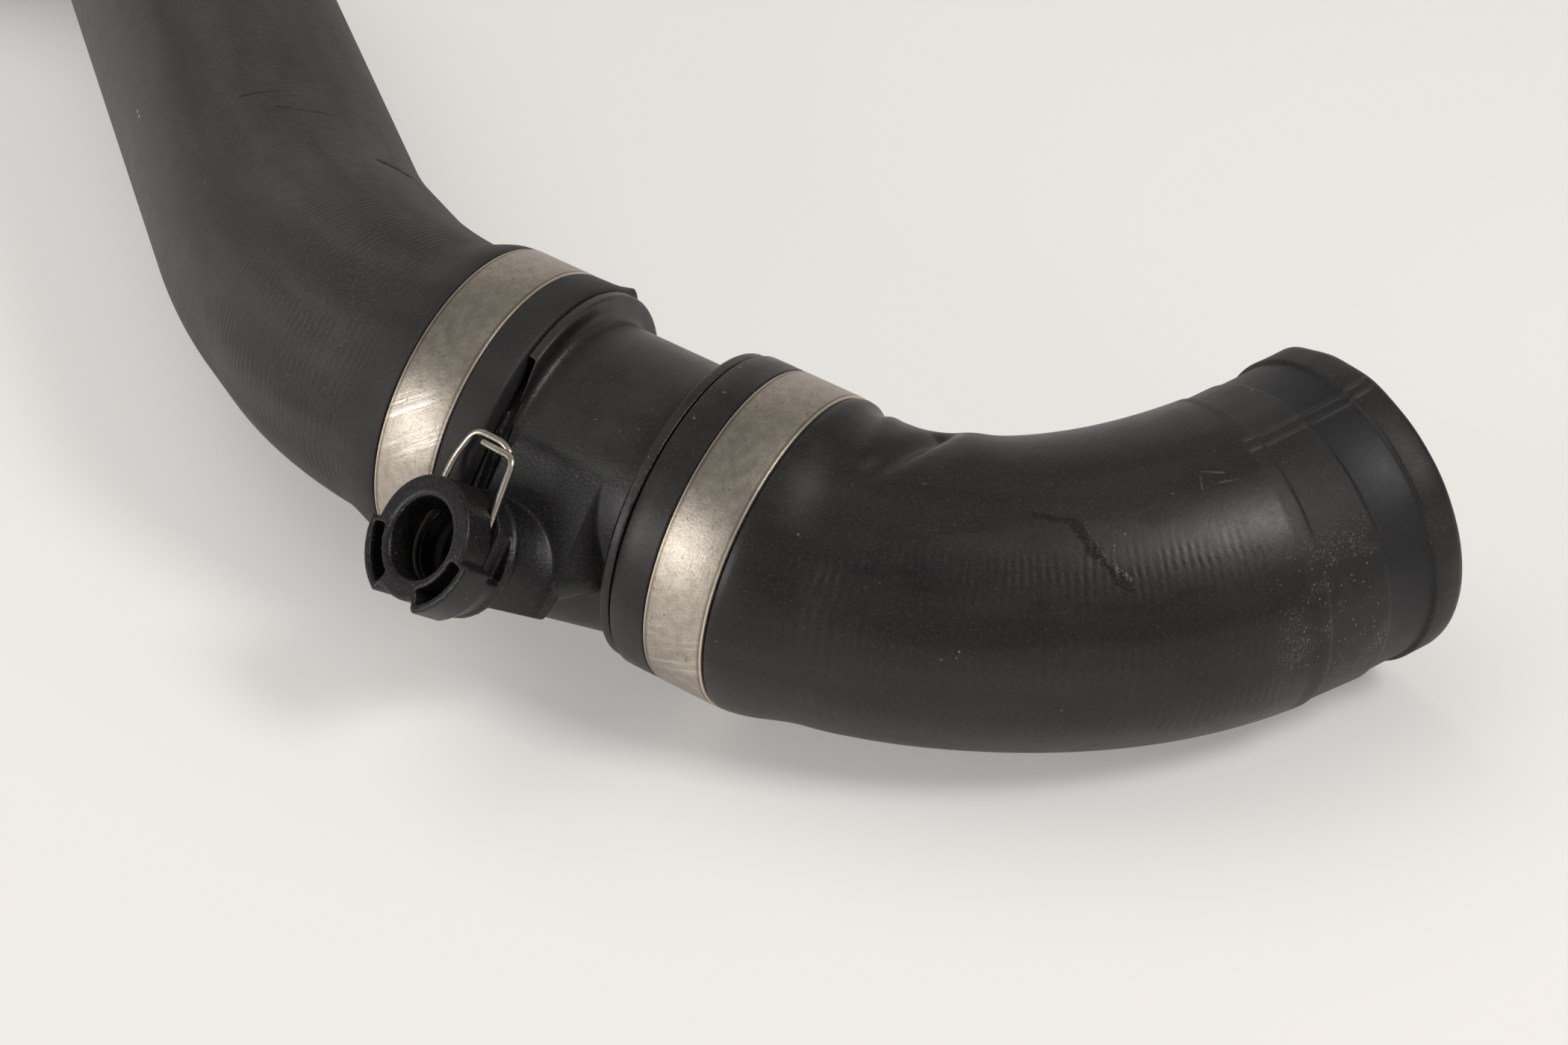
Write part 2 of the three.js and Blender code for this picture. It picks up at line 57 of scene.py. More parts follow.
# %% [markdown]
# ## Where the connector lies
#
# Most sizes of this object are known in the connector's own frame: X along the pipe,
# Z towards the sensor socket, and the origin in the middle of the neck.
# The two bands are round, so the middle of each box is a point on the pipe axis,
# and the middle of those two points is the connector's origin.

# %% The connector's frame
MM = 0.001
LIE = Euler((radians(49.3), radians(6.5), radians(-31.3)), "XYZ")


def box_middle(node):
    low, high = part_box(node)
    return (Vector(low) + Vector(high)) / 2


upper_band_middle = box_middle("upper_crimp_band")
lower_band_middle = box_middle("lower_crimp_band")
connector_origin = (upper_band_middle + lower_band_middle) / 2
PLACE = Matrix.Translation(connector_origin) @ LIE.to_matrix().to_4x4() @ Matrix.Scale(MM, 4)
print("connector origin in mm:", [round(v / MM, 2) for v in connector_origin])
print("bands apart in mm:", round((upper_band_middle - lower_band_middle).length / MM, 2))

# %% [markdown]
# ## The camera
#
# The photo was taken from about 46 cm, looking down by 37.5 degrees, with a long lens. The
# view could be set by eye, but here its numbers were fitted to the outlines in the photo.
# The lens follows from the focal length in pixels and the width of the image.

# %% Camera
IMAGE_WIDTH = 2100
FOCAL_PIXELS = 3949
SENSOR_WIDTH = 36
NEAR_CLIP = 0.01
LOOK_DOWN = 37.5
CAMERA_FROM_CONNECTOR = Vector((23.92, -368.16, 273.3))

bpy.ops.object.camera_add(
    location=connector_origin + CAMERA_FROM_CONNECTOR * MM,
    rotation=(radians(90 - LOOK_DOWN), 0, 0),
)
camera = bpy.context.object
camera.name = "camera"
camera.data.sensor_width = SENSOR_WIDTH
camera.data.lens = FOCAL_PIXELS / IMAGE_WIDTH * SENSOR_WIDTH
camera.data.clip_start = NEAR_CLIP
bpy.context.scene.camera = camera
print("lens in mm:", round(camera.data.lens, 1))

# %% [markdown]
# ## Node maths as Python
#
# A material is easier to read as an expression. `Socket` wraps the output of a node,
# so that `mask * 0.5 + dust` adds the Math nodes. `Finish` holds one material and
# makes any other node from its type, its settings and the values of its sockets.

# %% Helpers for materials
class Socket:
    def __init__(self, finish, output):
        self.finish = finish
        self.output = output

    def math(self, operation, *others, clamp=False):
        return self.finish.node(
            "ShaderNodeMath",
            {"operation": operation, "use_clamp": clamp},
            dict(enumerate([self, *others])),
        )

    def __add__(self, other):
        return self.math("ADD", other)

    __radd__ = __add__

    def __sub__(self, other):
        return self.math("SUBTRACT", other)

    def __rsub__(self, other):
        return self.finish.number(other).math("SUBTRACT", self)

    def __mul__(self, other):
        return self.math("MULTIPLY", other)

    __rmul__ = __mul__

    def __pow__(self, other):
        return self.math("POWER", other)

    def clamp(self):
        return self.math("ADD", 0, clamp=True)

    def smooth(self, low, high):
        return self.finish.node(
            "ShaderNodeMapRange",
            {"interpolation_type": "SMOOTHSTEP"},
            {"Value": self, "From Min": low, "From Max": high},
        )


class Finish:
    def __init__(self, name, colour, roughness, metallic=0.0):
        self.material = bpy.data.materials.new(name)
        self.material.use_nodes = True
        self.nodes = self.material.node_tree.nodes
        self.links = self.material.node_tree.links
        self.shader = self.nodes["Principled BSDF"]
        self.set("Base Color", (*colour, 1))
        self.set("Roughness", roughness)
        self.set("Metallic", metallic)
        self.material.diffuse_color = (*colour, 1)

    def set(self, socket, value):
        if isinstance(value, Socket):
            self.links.new(value.output, self.shader.inputs[socket])
        else:
            self.shader.inputs[socket].default_value = value

    def node(self, kind, settings=None, inputs=None, output=0):
        made = self.nodes.new(kind)
        for key, value in (settings or {}).items():
            setattr(made, key, value)
        for key, value in (inputs or {}).items():
            if isinstance(value, Socket):
                self.links.new(value.output, made.inputs[key])
            else:
                made.inputs[key].default_value = value
        return Socket(self, made.outputs[output])

    def number(self, value):
        made = self.nodes.new("ShaderNodeValue")
        made.outputs[0].default_value = value
        return Socket(self, made.outputs[0])

    def place(self):
        return self.node("ShaderNodeTexCoord", output="Object")

    def attribute(self, name):
        return self.node("ShaderNodeAttribute", {"attribute_name": name}, output="Fac")

    def noise(self, scale, detail, roughness=0.55, vector=None):
        inputs = {"Scale": scale, "Detail": detail, "Roughness": roughness}
        inputs["Vector"] = vector or self.place()
        return self.node("ShaderNodeTexNoise", inputs=inputs)

    def vector(self, x, y, z):
        return self.node("ShaderNodeCombineXYZ", inputs={"X": x, "Y": y, "Z": z})

    def skin_noise(self, x, y, detail=4, roughness=0.55, layer=0):
        """Noise over an unrolled skin; x and y come scaled, and each layer is another one."""
        return self.noise(1.0, detail, roughness, self.vector(x, y, layer))

    def mix(self, factor, first, second):
        def colour(value):
            return value if isinstance(value, Socket) else (*value, 1)

        return self.node(
            "ShaderNodeMix",
            {"data_type": "RGBA"},
            {0: factor, 6: colour(first), 7: colour(second)},
            output=2,
        )

    def segment(self, x, y, start, end):
        """Distance of the point (x, y) from a straight mark, in the units of x and y."""
        run_x, run_y = end[0] - start[0], end[1] - start[1]
        length = hypot(run_x, run_y)
        share_x = (x - start[0]) * (run_x / length ** 2)
        share_y = (y - start[1]) * (run_y / length ** 2)
        share = (share_x + share_y).clamp()
        off_x = x - start[0] - share * run_x
        off_y = y - start[1] - share * run_y
        return (off_x * off_x + off_y * off_y) ** 0.5

    def polyline(self, x, y, points):
        """Distance from the nearest of a chain of straight marks."""
        nearest = self.segment(x, y, points[0], points[1])
        for start, end in zip(points[1:], points[2:]):
            nearest = nearest.math("MINIMUM", self.segment(x, y, start, end))
        return nearest

    def bump(self, height, distance):
        inputs = {"Height": height, "Distance": distance, "Strength": 1.0}
        return self.node("ShaderNodeBump", inputs=inputs)


# %% [markdown]
# ## The table
#
# The set lies on a pale sheet that curves up behind it. It could be a plain plane, but its
# edge would show in low views. So the far edge of a plane is extruded upwards, and the
# fold is rounded by a bevel.

# %% Table
TABLE_HALF = 0.9
TABLE_BACK = 1.3
WALL_HEIGHT = 1.2
SHEET_FOLD = 0.4
FOLD_STEPS = 16
NEAR_BACK = TABLE_BACK * 0.9


def select_edges(test):
    """Selects the edges of the mesh in edit mode whose two ends pass the test."""
    bpy.ops.mesh.select_mode(type="EDGE")
    bpy.ops.mesh.select_all(action="DESELECT")
    bpy.ops.object.mode_set(mode="OBJECT")
    mesh = bpy.context.object.data
    for edge in mesh.edges:
        ends = [mesh.vertices[i].co for i in edge.vertices]
        edge.select = all(test(end) for end in ends)
    bpy.ops.object.mode_set(mode="EDIT")


def make_table():
    bpy.ops.mesh.primitive_plane_add(size=2, location=(0, 0, 0))
    table = bpy.context.object
    table.name = "table"
    table.scale = (TABLE_HALF * 2, TABLE_BACK, 1)
    bpy.ops.object.transform_apply(location=True, rotation=True, scale=True)
    bpy.ops.object.mode_set(mode="EDIT")
    select_edges(lambda end: end.y > NEAR_BACK)
    bpy.ops.mesh.extrude_region_move(TRANSFORM_OT_translate={"value": (0, 0, WALL_HEIGHT)})
    select_edges(lambda end: end.y > NEAR_BACK and abs(end.z) < MM)
    bpy.ops.mesh.bevel(offset=SHEET_FOLD, segments=FOLD_STEPS, affect="EDGES")
    bpy.ops.object.mode_set(mode="OBJECT")
    bpy.ops.object.shade_smooth()
    return table


table = make_table()
print("table:", len(table.data.polygons), "faces")

# %% [markdown]
# ## The white of the sheet
#
# A camera is set so that a pale table comes out nearly white. More lamp light would do
# that too, but would also wash out the black rubber. So the camera, and every reflection,
# sees part of the sheet's white as a glow, and the rest as a lit surface with its shadows.

# %% Paper
SHEET_GLOW = 0.3

paper = Finish("table_paper", (0.86, 0.835, 0.815), roughness=0.9)
paper.set("Specular IOR Level", 0.15)
kinds = ("Camera", "Glossy", "Transmission")
rays = [paper.node("ShaderNodeLightPath", output=f"Is {kind} Ray") for kind in kinds]
seen = sum(rays[1:], rays[0]).clamp()
glow = {"Color": (0.9, 0.872, 0.85, 1), "Strength": 1.0}
white = paper.node("ShaderNodeEmission", inputs=glow)
shown = paper.node("ShaderNodeMixShader", inputs={0: seen * SHEET_GLOW})
paper.links.new(paper.shader.outputs[0], shown.output.node.inputs[1])
paper.links.new(white.output, shown.output.node.inputs[2])
paper.links.new(shown.output, paper.nodes["Material Output"].inputs["Surface"])
table.data.materials.append(paper.material)
print("glow of the sheet:", SHEET_GLOW)

# %% [markdown]
# ## The light
#
# A plain studio: two small lamps give the highlights on the steel, one low at the left and
# one high at the right, and a wide soft lamp overhead fills the shadows. The wide lamp is
# hidden from reflections, so that the bands and the rubber mirror only the two small ones.
# A weak even light from all round stands for the room.

# %% Lamps and world
LAMP_AWAY = 0.9
LAMP_AIM = (0, -0.1, 0.02)
LAMP_WHITE = (1, 0.985, 0.97)
WARM_WHITE = (1, 0.985, 0.965)
FILL_PLACE = (-0.5, 0.2, 1.1)
ROOM_COLOUR = (1.0, 0.98, 0.955, 1)
ROOM_LIGHT = 0.26


def area_lamp(name, place, target, size, power, colour):
    """A square lamp with its side in metres and its power in watts."""
    bpy.ops.object.light_add(type="AREA", location=place)
    lamp = bpy.context.object
    lamp.name = name
    lamp.data.shape = "RECTANGLE"
    lamp.data.size = lamp.data.size_y = size
    lamp.data.energy = power
    lamp.data.color = colour
    aim = Vector(target) - Vector(place)
    lamp.rotation_euler = aim.to_track_quat("-Z", "Y").to_euler()
    print(name, "of", power, "W")
    return lamp


def around(azimuth, elevation):
    """The point that lies in a direction, in degrees, at the lamps' distance from the set."""
    turn, rise = radians(azimuth), radians(elevation)
    x = LAMP_AWAY * cos(rise) * cos(turn)
    y = LAMP_AWAY * cos(rise) * sin(turn) + LAMP_AIM[1]
    return (x, y, LAMP_AWAY * sin(rise))


area_lamp("lamp_left", around(-147, 18), LAMP_AIM, size=0.4, power=3.1, colour=LAMP_WHITE)
area_lamp("lamp_right", around(-27, 49), LAMP_AIM, size=0.24, power=3.4, colour=WARM_WHITE)
fill = area_lamp("lamp_fill", FILL_PLACE, (0, 0, 0), size=1.1, power=6.6, colour=WARM_WHITE)
fill.visible_glossy = False

world = bpy.data.worlds.new("room")
world.use_nodes = True
bpy.context.scene.world = world
background = world.node_tree.nodes["Background"]
background.inputs["Color"].default_value = ROOM_COLOUR
background.inputs["Strength"].default_value = ROOM_LIGHT
bpy.context.scene.view_settings.view_transform = "Standard"

# %% [markdown]
# ## Turning a profile
#
# Bands, hoses and most of the connector are round. Each is drawn as half a section,
# one point after another by extruding a vertex, and then spun about the axis.

# %% A lathe made of operators
MERGE = 1e-4
LINE_MERGE = 1e-5


def one_vertex(name, point):
    bpy.ops.mesh.primitive_plane_add(size=1, location=(0, 0, 0))
    thing = bpy.context.object
    thing.name = name
    bpy.ops.object.mode_set(mode="EDIT")
    bpy.ops.mesh.select_mode(type="VERT")
    bpy.ops.mesh.select_all(action="SELECT")
    bpy.ops.mesh.merge(type="CENTER")
    bpy.ops.transform.translate(value=point)
    return thing


def draw_line(name, points, closed=False):
    """Draws a chain of edges through the points and leaves it in edit mode."""
    thing = one_vertex(name, points[0])
    for before, after in zip(points, points[1:]):
        step = Vector(after) - Vector(before)
        bpy.ops.mesh.extrude_region_move(TRANSFORM_OT_translate={"value": step})
    bpy.ops.mesh.select_all(action="SELECT")
    if closed:
        bpy.ops.mesh.remove_doubles(threshold=LINE_MERGE)
    return thing


def turned(name, profile, steps):
    """Spins a profile of (along, radius) about the X axis."""
    points = [(along, 0, radius) for along, radius in profile]
    thing = draw_line(name, points, closed=True)
    bpy.ops.mesh.spin(steps=steps, angle=2 * pi, center=(0, 0, 0), axis=(1, 0, 0))
    bpy.ops.mesh.select_all(action="SELECT")
    bpy.ops.mesh.remove_doubles(threshold=MERGE)
    bpy.ops.mesh.normals_make_consistent(inside=False)
    bpy.ops.object.mode_set(mode="OBJECT")
    return thing


def keep_round(thing):
    """Stores for each point how far along X (mm) and at which angle round X (rad) it lies."""
    mesh = thing.data
    points = np.empty(len(mesh.vertices) * 3)
    mesh.vertices.foreach_get("co", points)
    points = points.reshape(-1, 3)
    along = points[:, 0].copy()
    angle = np.arctan2(points[:, 2], points[:, 1])
    radius = np.hypot(points[:, 1], points[:, 2])
    for key, values in (("along", along), ("angle", angle)):
        layer = mesh.attributes.new(key, "FLOAT", "POINT")
        layer.data.foreach_set("value", values)
    return points, along, angle, radius


# %% [markdown]
# ## Handing a piece over
#
# Every piece is made in millimetres in the connector's frame, because its sizes are known
# there. It could be placed by its object, but a finished piece has its place in its mesh.
# So one helper carries it over, shades it, gives it its material, and says which body it
# rides on and which node of the frame it replaces.

# %% Hand a finished piece over
def settle(thing, finish, body, node, smooth=30):
    """Carries a piece from the connector's frame to its place and hands it over."""
    bpy.ops.object.select_all(action="DESELECT")
    thing.select_set(True)
    bpy.context.view_layer.objects.active = thing
    thing.matrix_world = PLACE @ thing.matrix_world
    bpy.ops.object.transform_apply(location=True, rotation=True, scale=True)
    bpy.ops.object.shade_smooth_by_angle(angle=radians(smooth))
    thing.data.materials.clear()
    thing.data.materials.append(finish.material)
    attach(thing, body)
    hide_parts(node)
    thing.select_set(False)
    triangles = sum(len(face.vertices) - 2 for face in thing.data.polygons)
    print(thing.name, "has", triangles, "triangles")


# %% [markdown]
# ## The way that a hose runs
#
# A moulded hose is a chain of straights and bends. A curve with handles could follow it,
# but not with round bends of known radius. So `Run` walks along them and carries two cross
# directions without twist, so that any point of the wall has a place. The same straights
# and bends made the solid in the frame.

# %% Runs of the two hoses, in millimetres and degrees
HOSE_START = 13.5
BAND_START = 19.6
BAND_END = 29.9
# A straight is (length,); a bend is (radius, turn, roll)
LOWER_RUN = [(1.5,), (36, 19, -39), (1.6,), (79, 46, -42), (14.3,)]
UPPER_RUN = [(2.3,), (50.6, 32.9, 67.9), (13.6,), (114, 10.4, 11.9), (130,)]
UPPER_RUN += [(66, 50, -148.3), (30,)]


class Run:
    def __init__(self, side, legs):
        self.legs = []
        self.length = 0.0
        self.point = Vector((side * HOSE_START, 0, 0))
        self.heading = Vector((side, 0, 0))
        self.up = Vector((0, 1, 0))
        self.add_straight(BAND_END - HOSE_START)
        for leg in legs:
            if len(leg) == 1:
                self.add_straight(leg[0])
            else:
                self.add_bend(*leg)

    def keep(self, length, centre=None, axis=None, radius=None):
        state = (self.point.copy(), self.heading.copy(), self.up.copy())
        self.legs.append((self.length, state, centre, axis, radius))
        self.length += length

    def add_straight(self, length):
        self.keep(length)
        self.point = self.point + self.heading * length

    def add_bend(self, radius, turn, roll):
        towards = Matrix.Rotation(radians(roll), 3, self.heading) @ self.up
        axis = self.heading.cross(towards).normalized()
        centre = self.point + towards * radius
        self.keep(radius * radians(turn), centre, axis, radius)
        swing = Matrix.Rotation(radians(turn), 3, axis)
        self.point = centre + swing @ (self.point - centre)
        self.heading = swing @ self.heading
        self.up = swing @ self.up

    def at(self, along):
        leg = self.legs[0]
        for candidate in self.legs:
            if along >= candidate[0]:
                leg = candidate
        start, (point, heading, up), centre, axis, radius = leg
        if axis is None:
            return point + heading * (along - start), heading, up
        swing = Matrix.Rotation((along - start) / radius, 3, axis)
        return centre + swing @ (point - centre), swing @ heading, swing @ up


upper_run = Run(-1, UPPER_RUN)
lower_run = Run(1, LOWER_RUN)
print("hose lengths in mm:", round(upper_run.length, 1), round(lower_run.length, 1))

# %% [markdown]
# ## A hose
#
# A curve with a round bevel would bend by itself, but has no wall and no steps. So the wall
# is turned as a straight tube first, with the stretched end under the band, the free
# length, and the stepped cuff for a hose clamp. Two attributes keep, for every point, how
# far along the hose and at which angle round it the point lies: the finish draws its ridges
# and its dirt by them. Dents and creases are pushed in while the tube is straight, and then
# the tube is carried onto its run.

# %% Half section of a hose
WALL = 3.7
FREE_R = 23.7
STRETCHED_R = 25.9
SEAT_R = 24.8
BORE_R = FREE_R - WALL
SPIGOT_BORE_R = 22.2
CUFF_BORE_R = 21.2
LIP_END = BAND_START - HOSE_START
BAND_LIMIT = BAND_END - HOSE_START
COLLAR_BACK = 22.4
CLAMP_SEAT_BACK = 14.0
CUFF_LIP_BACK = 5.7
OUTER_STEP = 0.8
INNER_STEP = 2.5


def blend(x, low, high):
    share = min(max((x - low) / (high - low), 0), 1)
    return share * share * (3 - 2 * share)


def outer_radius(along, total, body_r):
    """Outer radius of the hose by the way along it, without its bends."""
    if along < BAND_LIMIT + 0.3:
        return STRETCHED_R
    shrink = blend(along, BAND_LIMIT + 0.5, BAND_LIMIT + 9)
    radius = STRETCHED_R + (FREE_R - STRETCHED_R) * shrink
    swell_to = total - COLLAR_BACK
    swell_from = max(BAND_LIMIT + 14, swell_to - 45)
    return radius + (body_r - FREE_R) * blend(along, swell_from, swell_to)


def hose_profile(total, body_r):
    """Half section as (along, radius), starting at the end face on the connector."""
    lip, seat, collar = total - CUFF_LIP_BACK, total - CLAMP_SEAT_BACK, total - COLLAR_BACK
    # The lip on the connector's flange, then the seat that the band is pressed into
    outer = [(0.0, STRETCHED_R - 0.45), (0.15, STRETCHED_R - 0.15), (0.5, STRETCHED_R + 0.05)]
    outer += [(LIP_END * 0.5, STRETCHED_R + 0.1), (LIP_END - 0.35, STRETCHED_R + 0.05)]
    outer += [(LIP_END - 0.1, STRETCHED_R - 0.2), (LIP_END, SEAT_R), (BAND_LIMIT, SEAT_R)]
    outer += [(BAND_LIMIT + 0.1, STRETCHED_R - 0.5), (BAND_LIMIT + 0.35, STRETCHED_R - 0.1)]
    along = BAND_LIMIT + 0.8
    while along < collar - 1.2:
        outer.append((along, outer_radius(along, total, body_r)))
        along += OUTER_STEP
    # The collar, the seat for a hose clamp and the cuff's own lip
    outer += [(collar - 0.5, body_r), (collar - 0.2, body_r - 0.08), (collar, body_r - 0.28)]
    outer += [(collar + 0.3, body_r - 0.36), (seat - 0.5, 24.88), (seat - 0.2, 24.8)]
    outer += [(seat, 24.62), (seat + 0.4, 24.56), (lip - 0.4, 24.6), (lip, 24.75)]
    outer += [(lip + 0.2, 25.2), (lip + 0.5, 25.36), (total - 1.2, 25.4), (total - 0.6, 25.28)]
    outer += [(total - 0.2, 25.0), (total, 24.6)]
    inner = [(total, CUFF_BORE_R + 0.5), (total - 0.5, CUFF_BORE_R), (collar, CUFF_BORE_R)]
    inner += [(collar - 9, BORE_R)]
    along = collar - 9 - INNER_STEP
    while along > BAND_LIMIT + 16:
        inner.append((along, BORE_R))
        along -= INNER_STEP
    inner += [(BAND_LIMIT + 13, BORE_R), (BAND_LIMIT + 3, SPIGOT_BORE_R), (0.0, SPIGOT_BORE_R)]
    return outer + inner + [outer[0]]


print("bore and free radius in mm:", BORE_R, FREE_R)

# %% From a straight tube to a bent hose
def make_hose(name, run, body_r, shape, steps):
    """Turns the straight tube, shapes its wall and carries it onto its run."""
    hose = turned(name, hose_profile(run.length, body_r), steps)
    mesh = hose.data
    points, along, angle, radius = keep_round(hose)
    outside = radius > SPIGOT_BORE_R + 0.5
    radius = np.where(outside, radius + shape(along, angle), radius)
    stations = {round(a, 4): run.at(a) for a in along}
    for i, a in enumerate(along):
        point, heading, up = stations[round(a, 4)]
        side = heading.cross(up)
        points[i] = point + up * (radius[i] * cos(angle[i])) + side * (radius[i] * sin(angle[i]))
    mesh.vertices.foreach_set("co", points.ravel())
    mesh.update()
    bpy.ops.object.mode_set(mode="EDIT")
    bpy.ops.mesh.select_all(action="SELECT")
    bpy.ops.mesh.normals_make_consistent(inside=False)
    bpy.ops.object.mode_set(mode="OBJECT")
    print(name, "bent from", len(stations), "rings")
    return hose


# %% [markdown]
# ## Dents and creases
#
# Rubber shows how it was handled: the long hose has a crack, the elbow a fold on its inner
# side, and both have uneven lips. They could be painted on by a bump, but a fold is seen in
# the outline, so it is pushed into the wall. Each dent is a bell-shaped fall-off from a
# short chain of marks on the unrolled skin, which is easy to read off and to move.

# %% Dents of both hoses
def on_skin(points):
    """Turns marks of (along in mm, angle in degrees) to mm on the unrolled skin."""
    return [(along, radians(angle) * FREE_R) for along, angle in points]


def near_line(along, angle, points):
    """Distance in mm over the skin from a chain of straight marks given as (along, degrees)."""
    x, y = along, angle * FREE_R
    nearest = np.full(len(along), 1e3)
    marks = on_skin(points)
    for (x0, y0), (x1, y1) in zip(marks, marks[1:]):
        run_x, run_y = x1 - x0, y1 - y0
        share = ((x - x0) * run_x + (y - y0) * run_y) / (run_x ** 2 + run_y ** 2)
        share = np.clip(share, 0, 1)
        nearest = np.minimum(nearest, np.hypot(x - x0 - share * run_x, y - y0 - share * run_y))
    return nearest


def bell(distance, width):
    return np.exp(-(distance / width) ** 2)


OPEN_CRACK = [(60.5, -11), (59, -5), (58, 1)]
CRACK_DEPTH = 0.55
NUB_HEIGHT = 0.9
FOLD_LINE = [(37.5, 12), (35.5, 22), (31.5, 38), (28.5, 50)]
FOLD_DEPTH = 1.7
BULGE_LINE = [(43, 12), (42, 30), (39, 48)]
BULGE_HEIGHT = 0.55
FILL_HEIGHT = 1.3
CUFF_LENGTH = 25
CUFF_RIBS = ((47, 45.3), (51.6, 49.4))
RIB_HEIGHT = 0.2


def upper_shape(along, angle):
    """Dents of the long hose: an uneven lip with a small nub, and an open crack."""
    lip = np.clip(1 - along / 5.5, 0, 1)
    change = lip * (0.12 * np.sin(3 * angle + 0.7) + 0.07 * np.sin(7 * angle))
    nub = bell(along - 0.3, 0.9) * bell((angle - radians(8)) * FREE_R, 1.3)
    change = change + NUB_HEIGHT * nub
    return change - CRACK_DEPTH * bell(near_line(along, angle, OPEN_CRACK), 0.55)


def lower_shape(along, angle):
    """Dents of the elbow: the fold on its inner side, two mould ribs and an uneven lip."""
    total = lower_run.length
    depth = np.clip((75 - np.degrees(angle)) / 55, 0, 1)
    change = -FOLD_DEPTH * bell(near_line(along, angle, FOLD_LINE), 2.0) * depth
    change = change + FILL_HEIGHT * bell(along - 27, 4.5) * bell((angle - 0.3) * FREE_R, 13)
    bulge = bell(near_line(along, angle, BULGE_LINE), 4.0)
    change = change + BULGE_HEIGHT * bulge * depth
    on_cuff = np.clip((along - (total - 25.5)) / 0.8, 0, 1)
    on_cuff = on_cuff * np.clip((total - 0.9 - along) / 0.5, 0, 1)
    for first_turn, last_turn in CUFF_RIBS:
        share = (along - (total - CUFF_LENGTH)) / CUFF_LENGTH
        turn = first_turn + (last_turn - first_turn) * share
        off = np.abs(np.degrees(angle) - turn) * radians(FREE_R)
        change = change + RIB_HEIGHT * on_cuff * np.clip(1.6 - off / 0.28, 0, 1)
    lip = np.clip((along - (total - 5.2)) / 1.5, 0, 1)
    uneven = 0.16 * np.sin(9 * angle + 0.4) + 0.12 * np.sin(17 * angle)
    return change + lip * uneven * bell(angle, 1.1)


print("ribs on the elbow's cuff:", len(CUFF_RIBS))

# %% [markdown]
# ## Rubber
#
# Moulded hose rubber is a matt brownish black with soft clouds, fine grain, and the fine
# ridges of the wrap that it was cured in. A picture could be laid on it, but it would need
# a map of the bent hose. Sums of sines and noise over the two stored attributes follow the
# bends by themselves, and every mark can be placed by its way along and its angle round.

# %% What both rubbers share
RUBBER_BUMP = 0.00006
CRACK_SHADE = (0.004, 0.004, 0.004)


def rubber_finish(name, dark, light, pitch, ridge_height, smooth_after=None, smooth_over=None):
    """Clouded rubber with ridges; returns the finish and all that its marks are built on."""
    finish = Finish(name, dark, roughness=0.6)
    along = finish.attribute("along")
    angle = finish.attribute("angle")
    arc = angle * FREE_R
    cloud = finish.noise(55, detail=3)
    fine = finish.noise(1900, detail=2)
    patch = finish.noise(260, detail=3)
    bands = finish.skin_noise(along * 0.02, arc * 0.11, detail=2).smooth(0.35, 0.7)
    cloudy = (cloud * 0.7 + bands * 0.45 + fine * 0.25 - 0.25).clamp()
    colour = finish.mix(cloudy, dark, light)
    wobble = finish.skin_noise(along * 0.16, arc * 0.1, detail=2)
    turn = along * (2 * pi / pitch) + wobble * 5
    ridges = (turn + arc * 0.22).math("SINE") * 0.6 + (turn - arc * 0.31).math("SINE") * 0.4
    ridges = ridges * ((arc * 2.4 + wobble * 9).math("SINE") * 0.3 + 0.7)
    breaks = finish.skin_noise(along * 0.34, arc * 0.2, detail=3).smooth(0.3, 0.62)
    clear = along.smooth(BAND_LIMIT + 2, BAND_LIMIT + 9) * breaks
    if smooth_after:
        clear = clear * (1 - along.smooth(smooth_after - 6, smooth_after))
    if smooth_over:
        clear = clear * (angle.smooth(smooth_over, smooth_over + 0.5) * 0.85 + 0.15)
    # Painted shade: the grooves between the ridges are darkened.
    groove_shade = (1 - ridges.smooth(-0.9, 0.5)) * clear
    colour = finish.mix(groove_shade * 0.4, colour, dark)
    grains = finish.noise(2500, detail=3, roughness=0.7).smooth(0.52, 0.7)
    colour = finish.mix(grains * 0.45, colour, tuple(channel * 1.9 for channel in light))
    height = ridges * clear * ridge_height + patch * 0.9 + fine * 0.2
    return finish, along, angle, arc, colour, height, fine, patch


def crack(finish, colour, height, distance, width, depth):
    """Darkens with painted shade and sinks what lies nearer than the width; returns colour and
    height.
    """
    mask = 1 - distance.smooth(width * 0.3, width)
    # Painted shade: the mask darkens the inside of the crack or crease.
    return finish.mix(mask * 0.75, colour, CRACK_SHADE), height - mask * depth


def specks(finish, scale, threshold, region, colour, tint):
    """Round dots of the tint, where the region allows them."""
    cells = {"Vector": finish.place(), "Scale": scale}
    dots = finish.node("ShaderNodeTexVoronoi", {"feature": "F1"}, cells)
    mask = (1 - dots.smooth(threshold * 0.6, threshold)) * region
    return finish.mix(mask, colour, tint)


# %% [markdown]
# ## The long hose
#
# It has the stronger ridges, is darker and smooth just behind the band, and has a painted
# highlight along one side, two fine creases and the open crack. The ridges are too fine for a
# mesh, so they are bump, while the crack is also pushed into the wall, and crack and creases
# get painted shade inside here.

# %% Rubber of the long hose
LONG_DARK = (0.0165, 0.0158, 0.016)
LONG_LIGHT = (0.052, 0.0482, 0.0468)
LONG_AT_BAND = (0.007, 0.0066, 0.0068)
SIDE_HIGHLIGHT = (0.1, 0.09, 0.082)
BROWN_DUST = (0.2, 0.16, 0.11)
PALE_SPOTS = (0.5, 0.48, 0.45)
SPOTS_AT = (107, -98)
CREASES = ([(89, -53), (88, -37)], [(83, -41), (80.5, -28), (79.5, -18)])


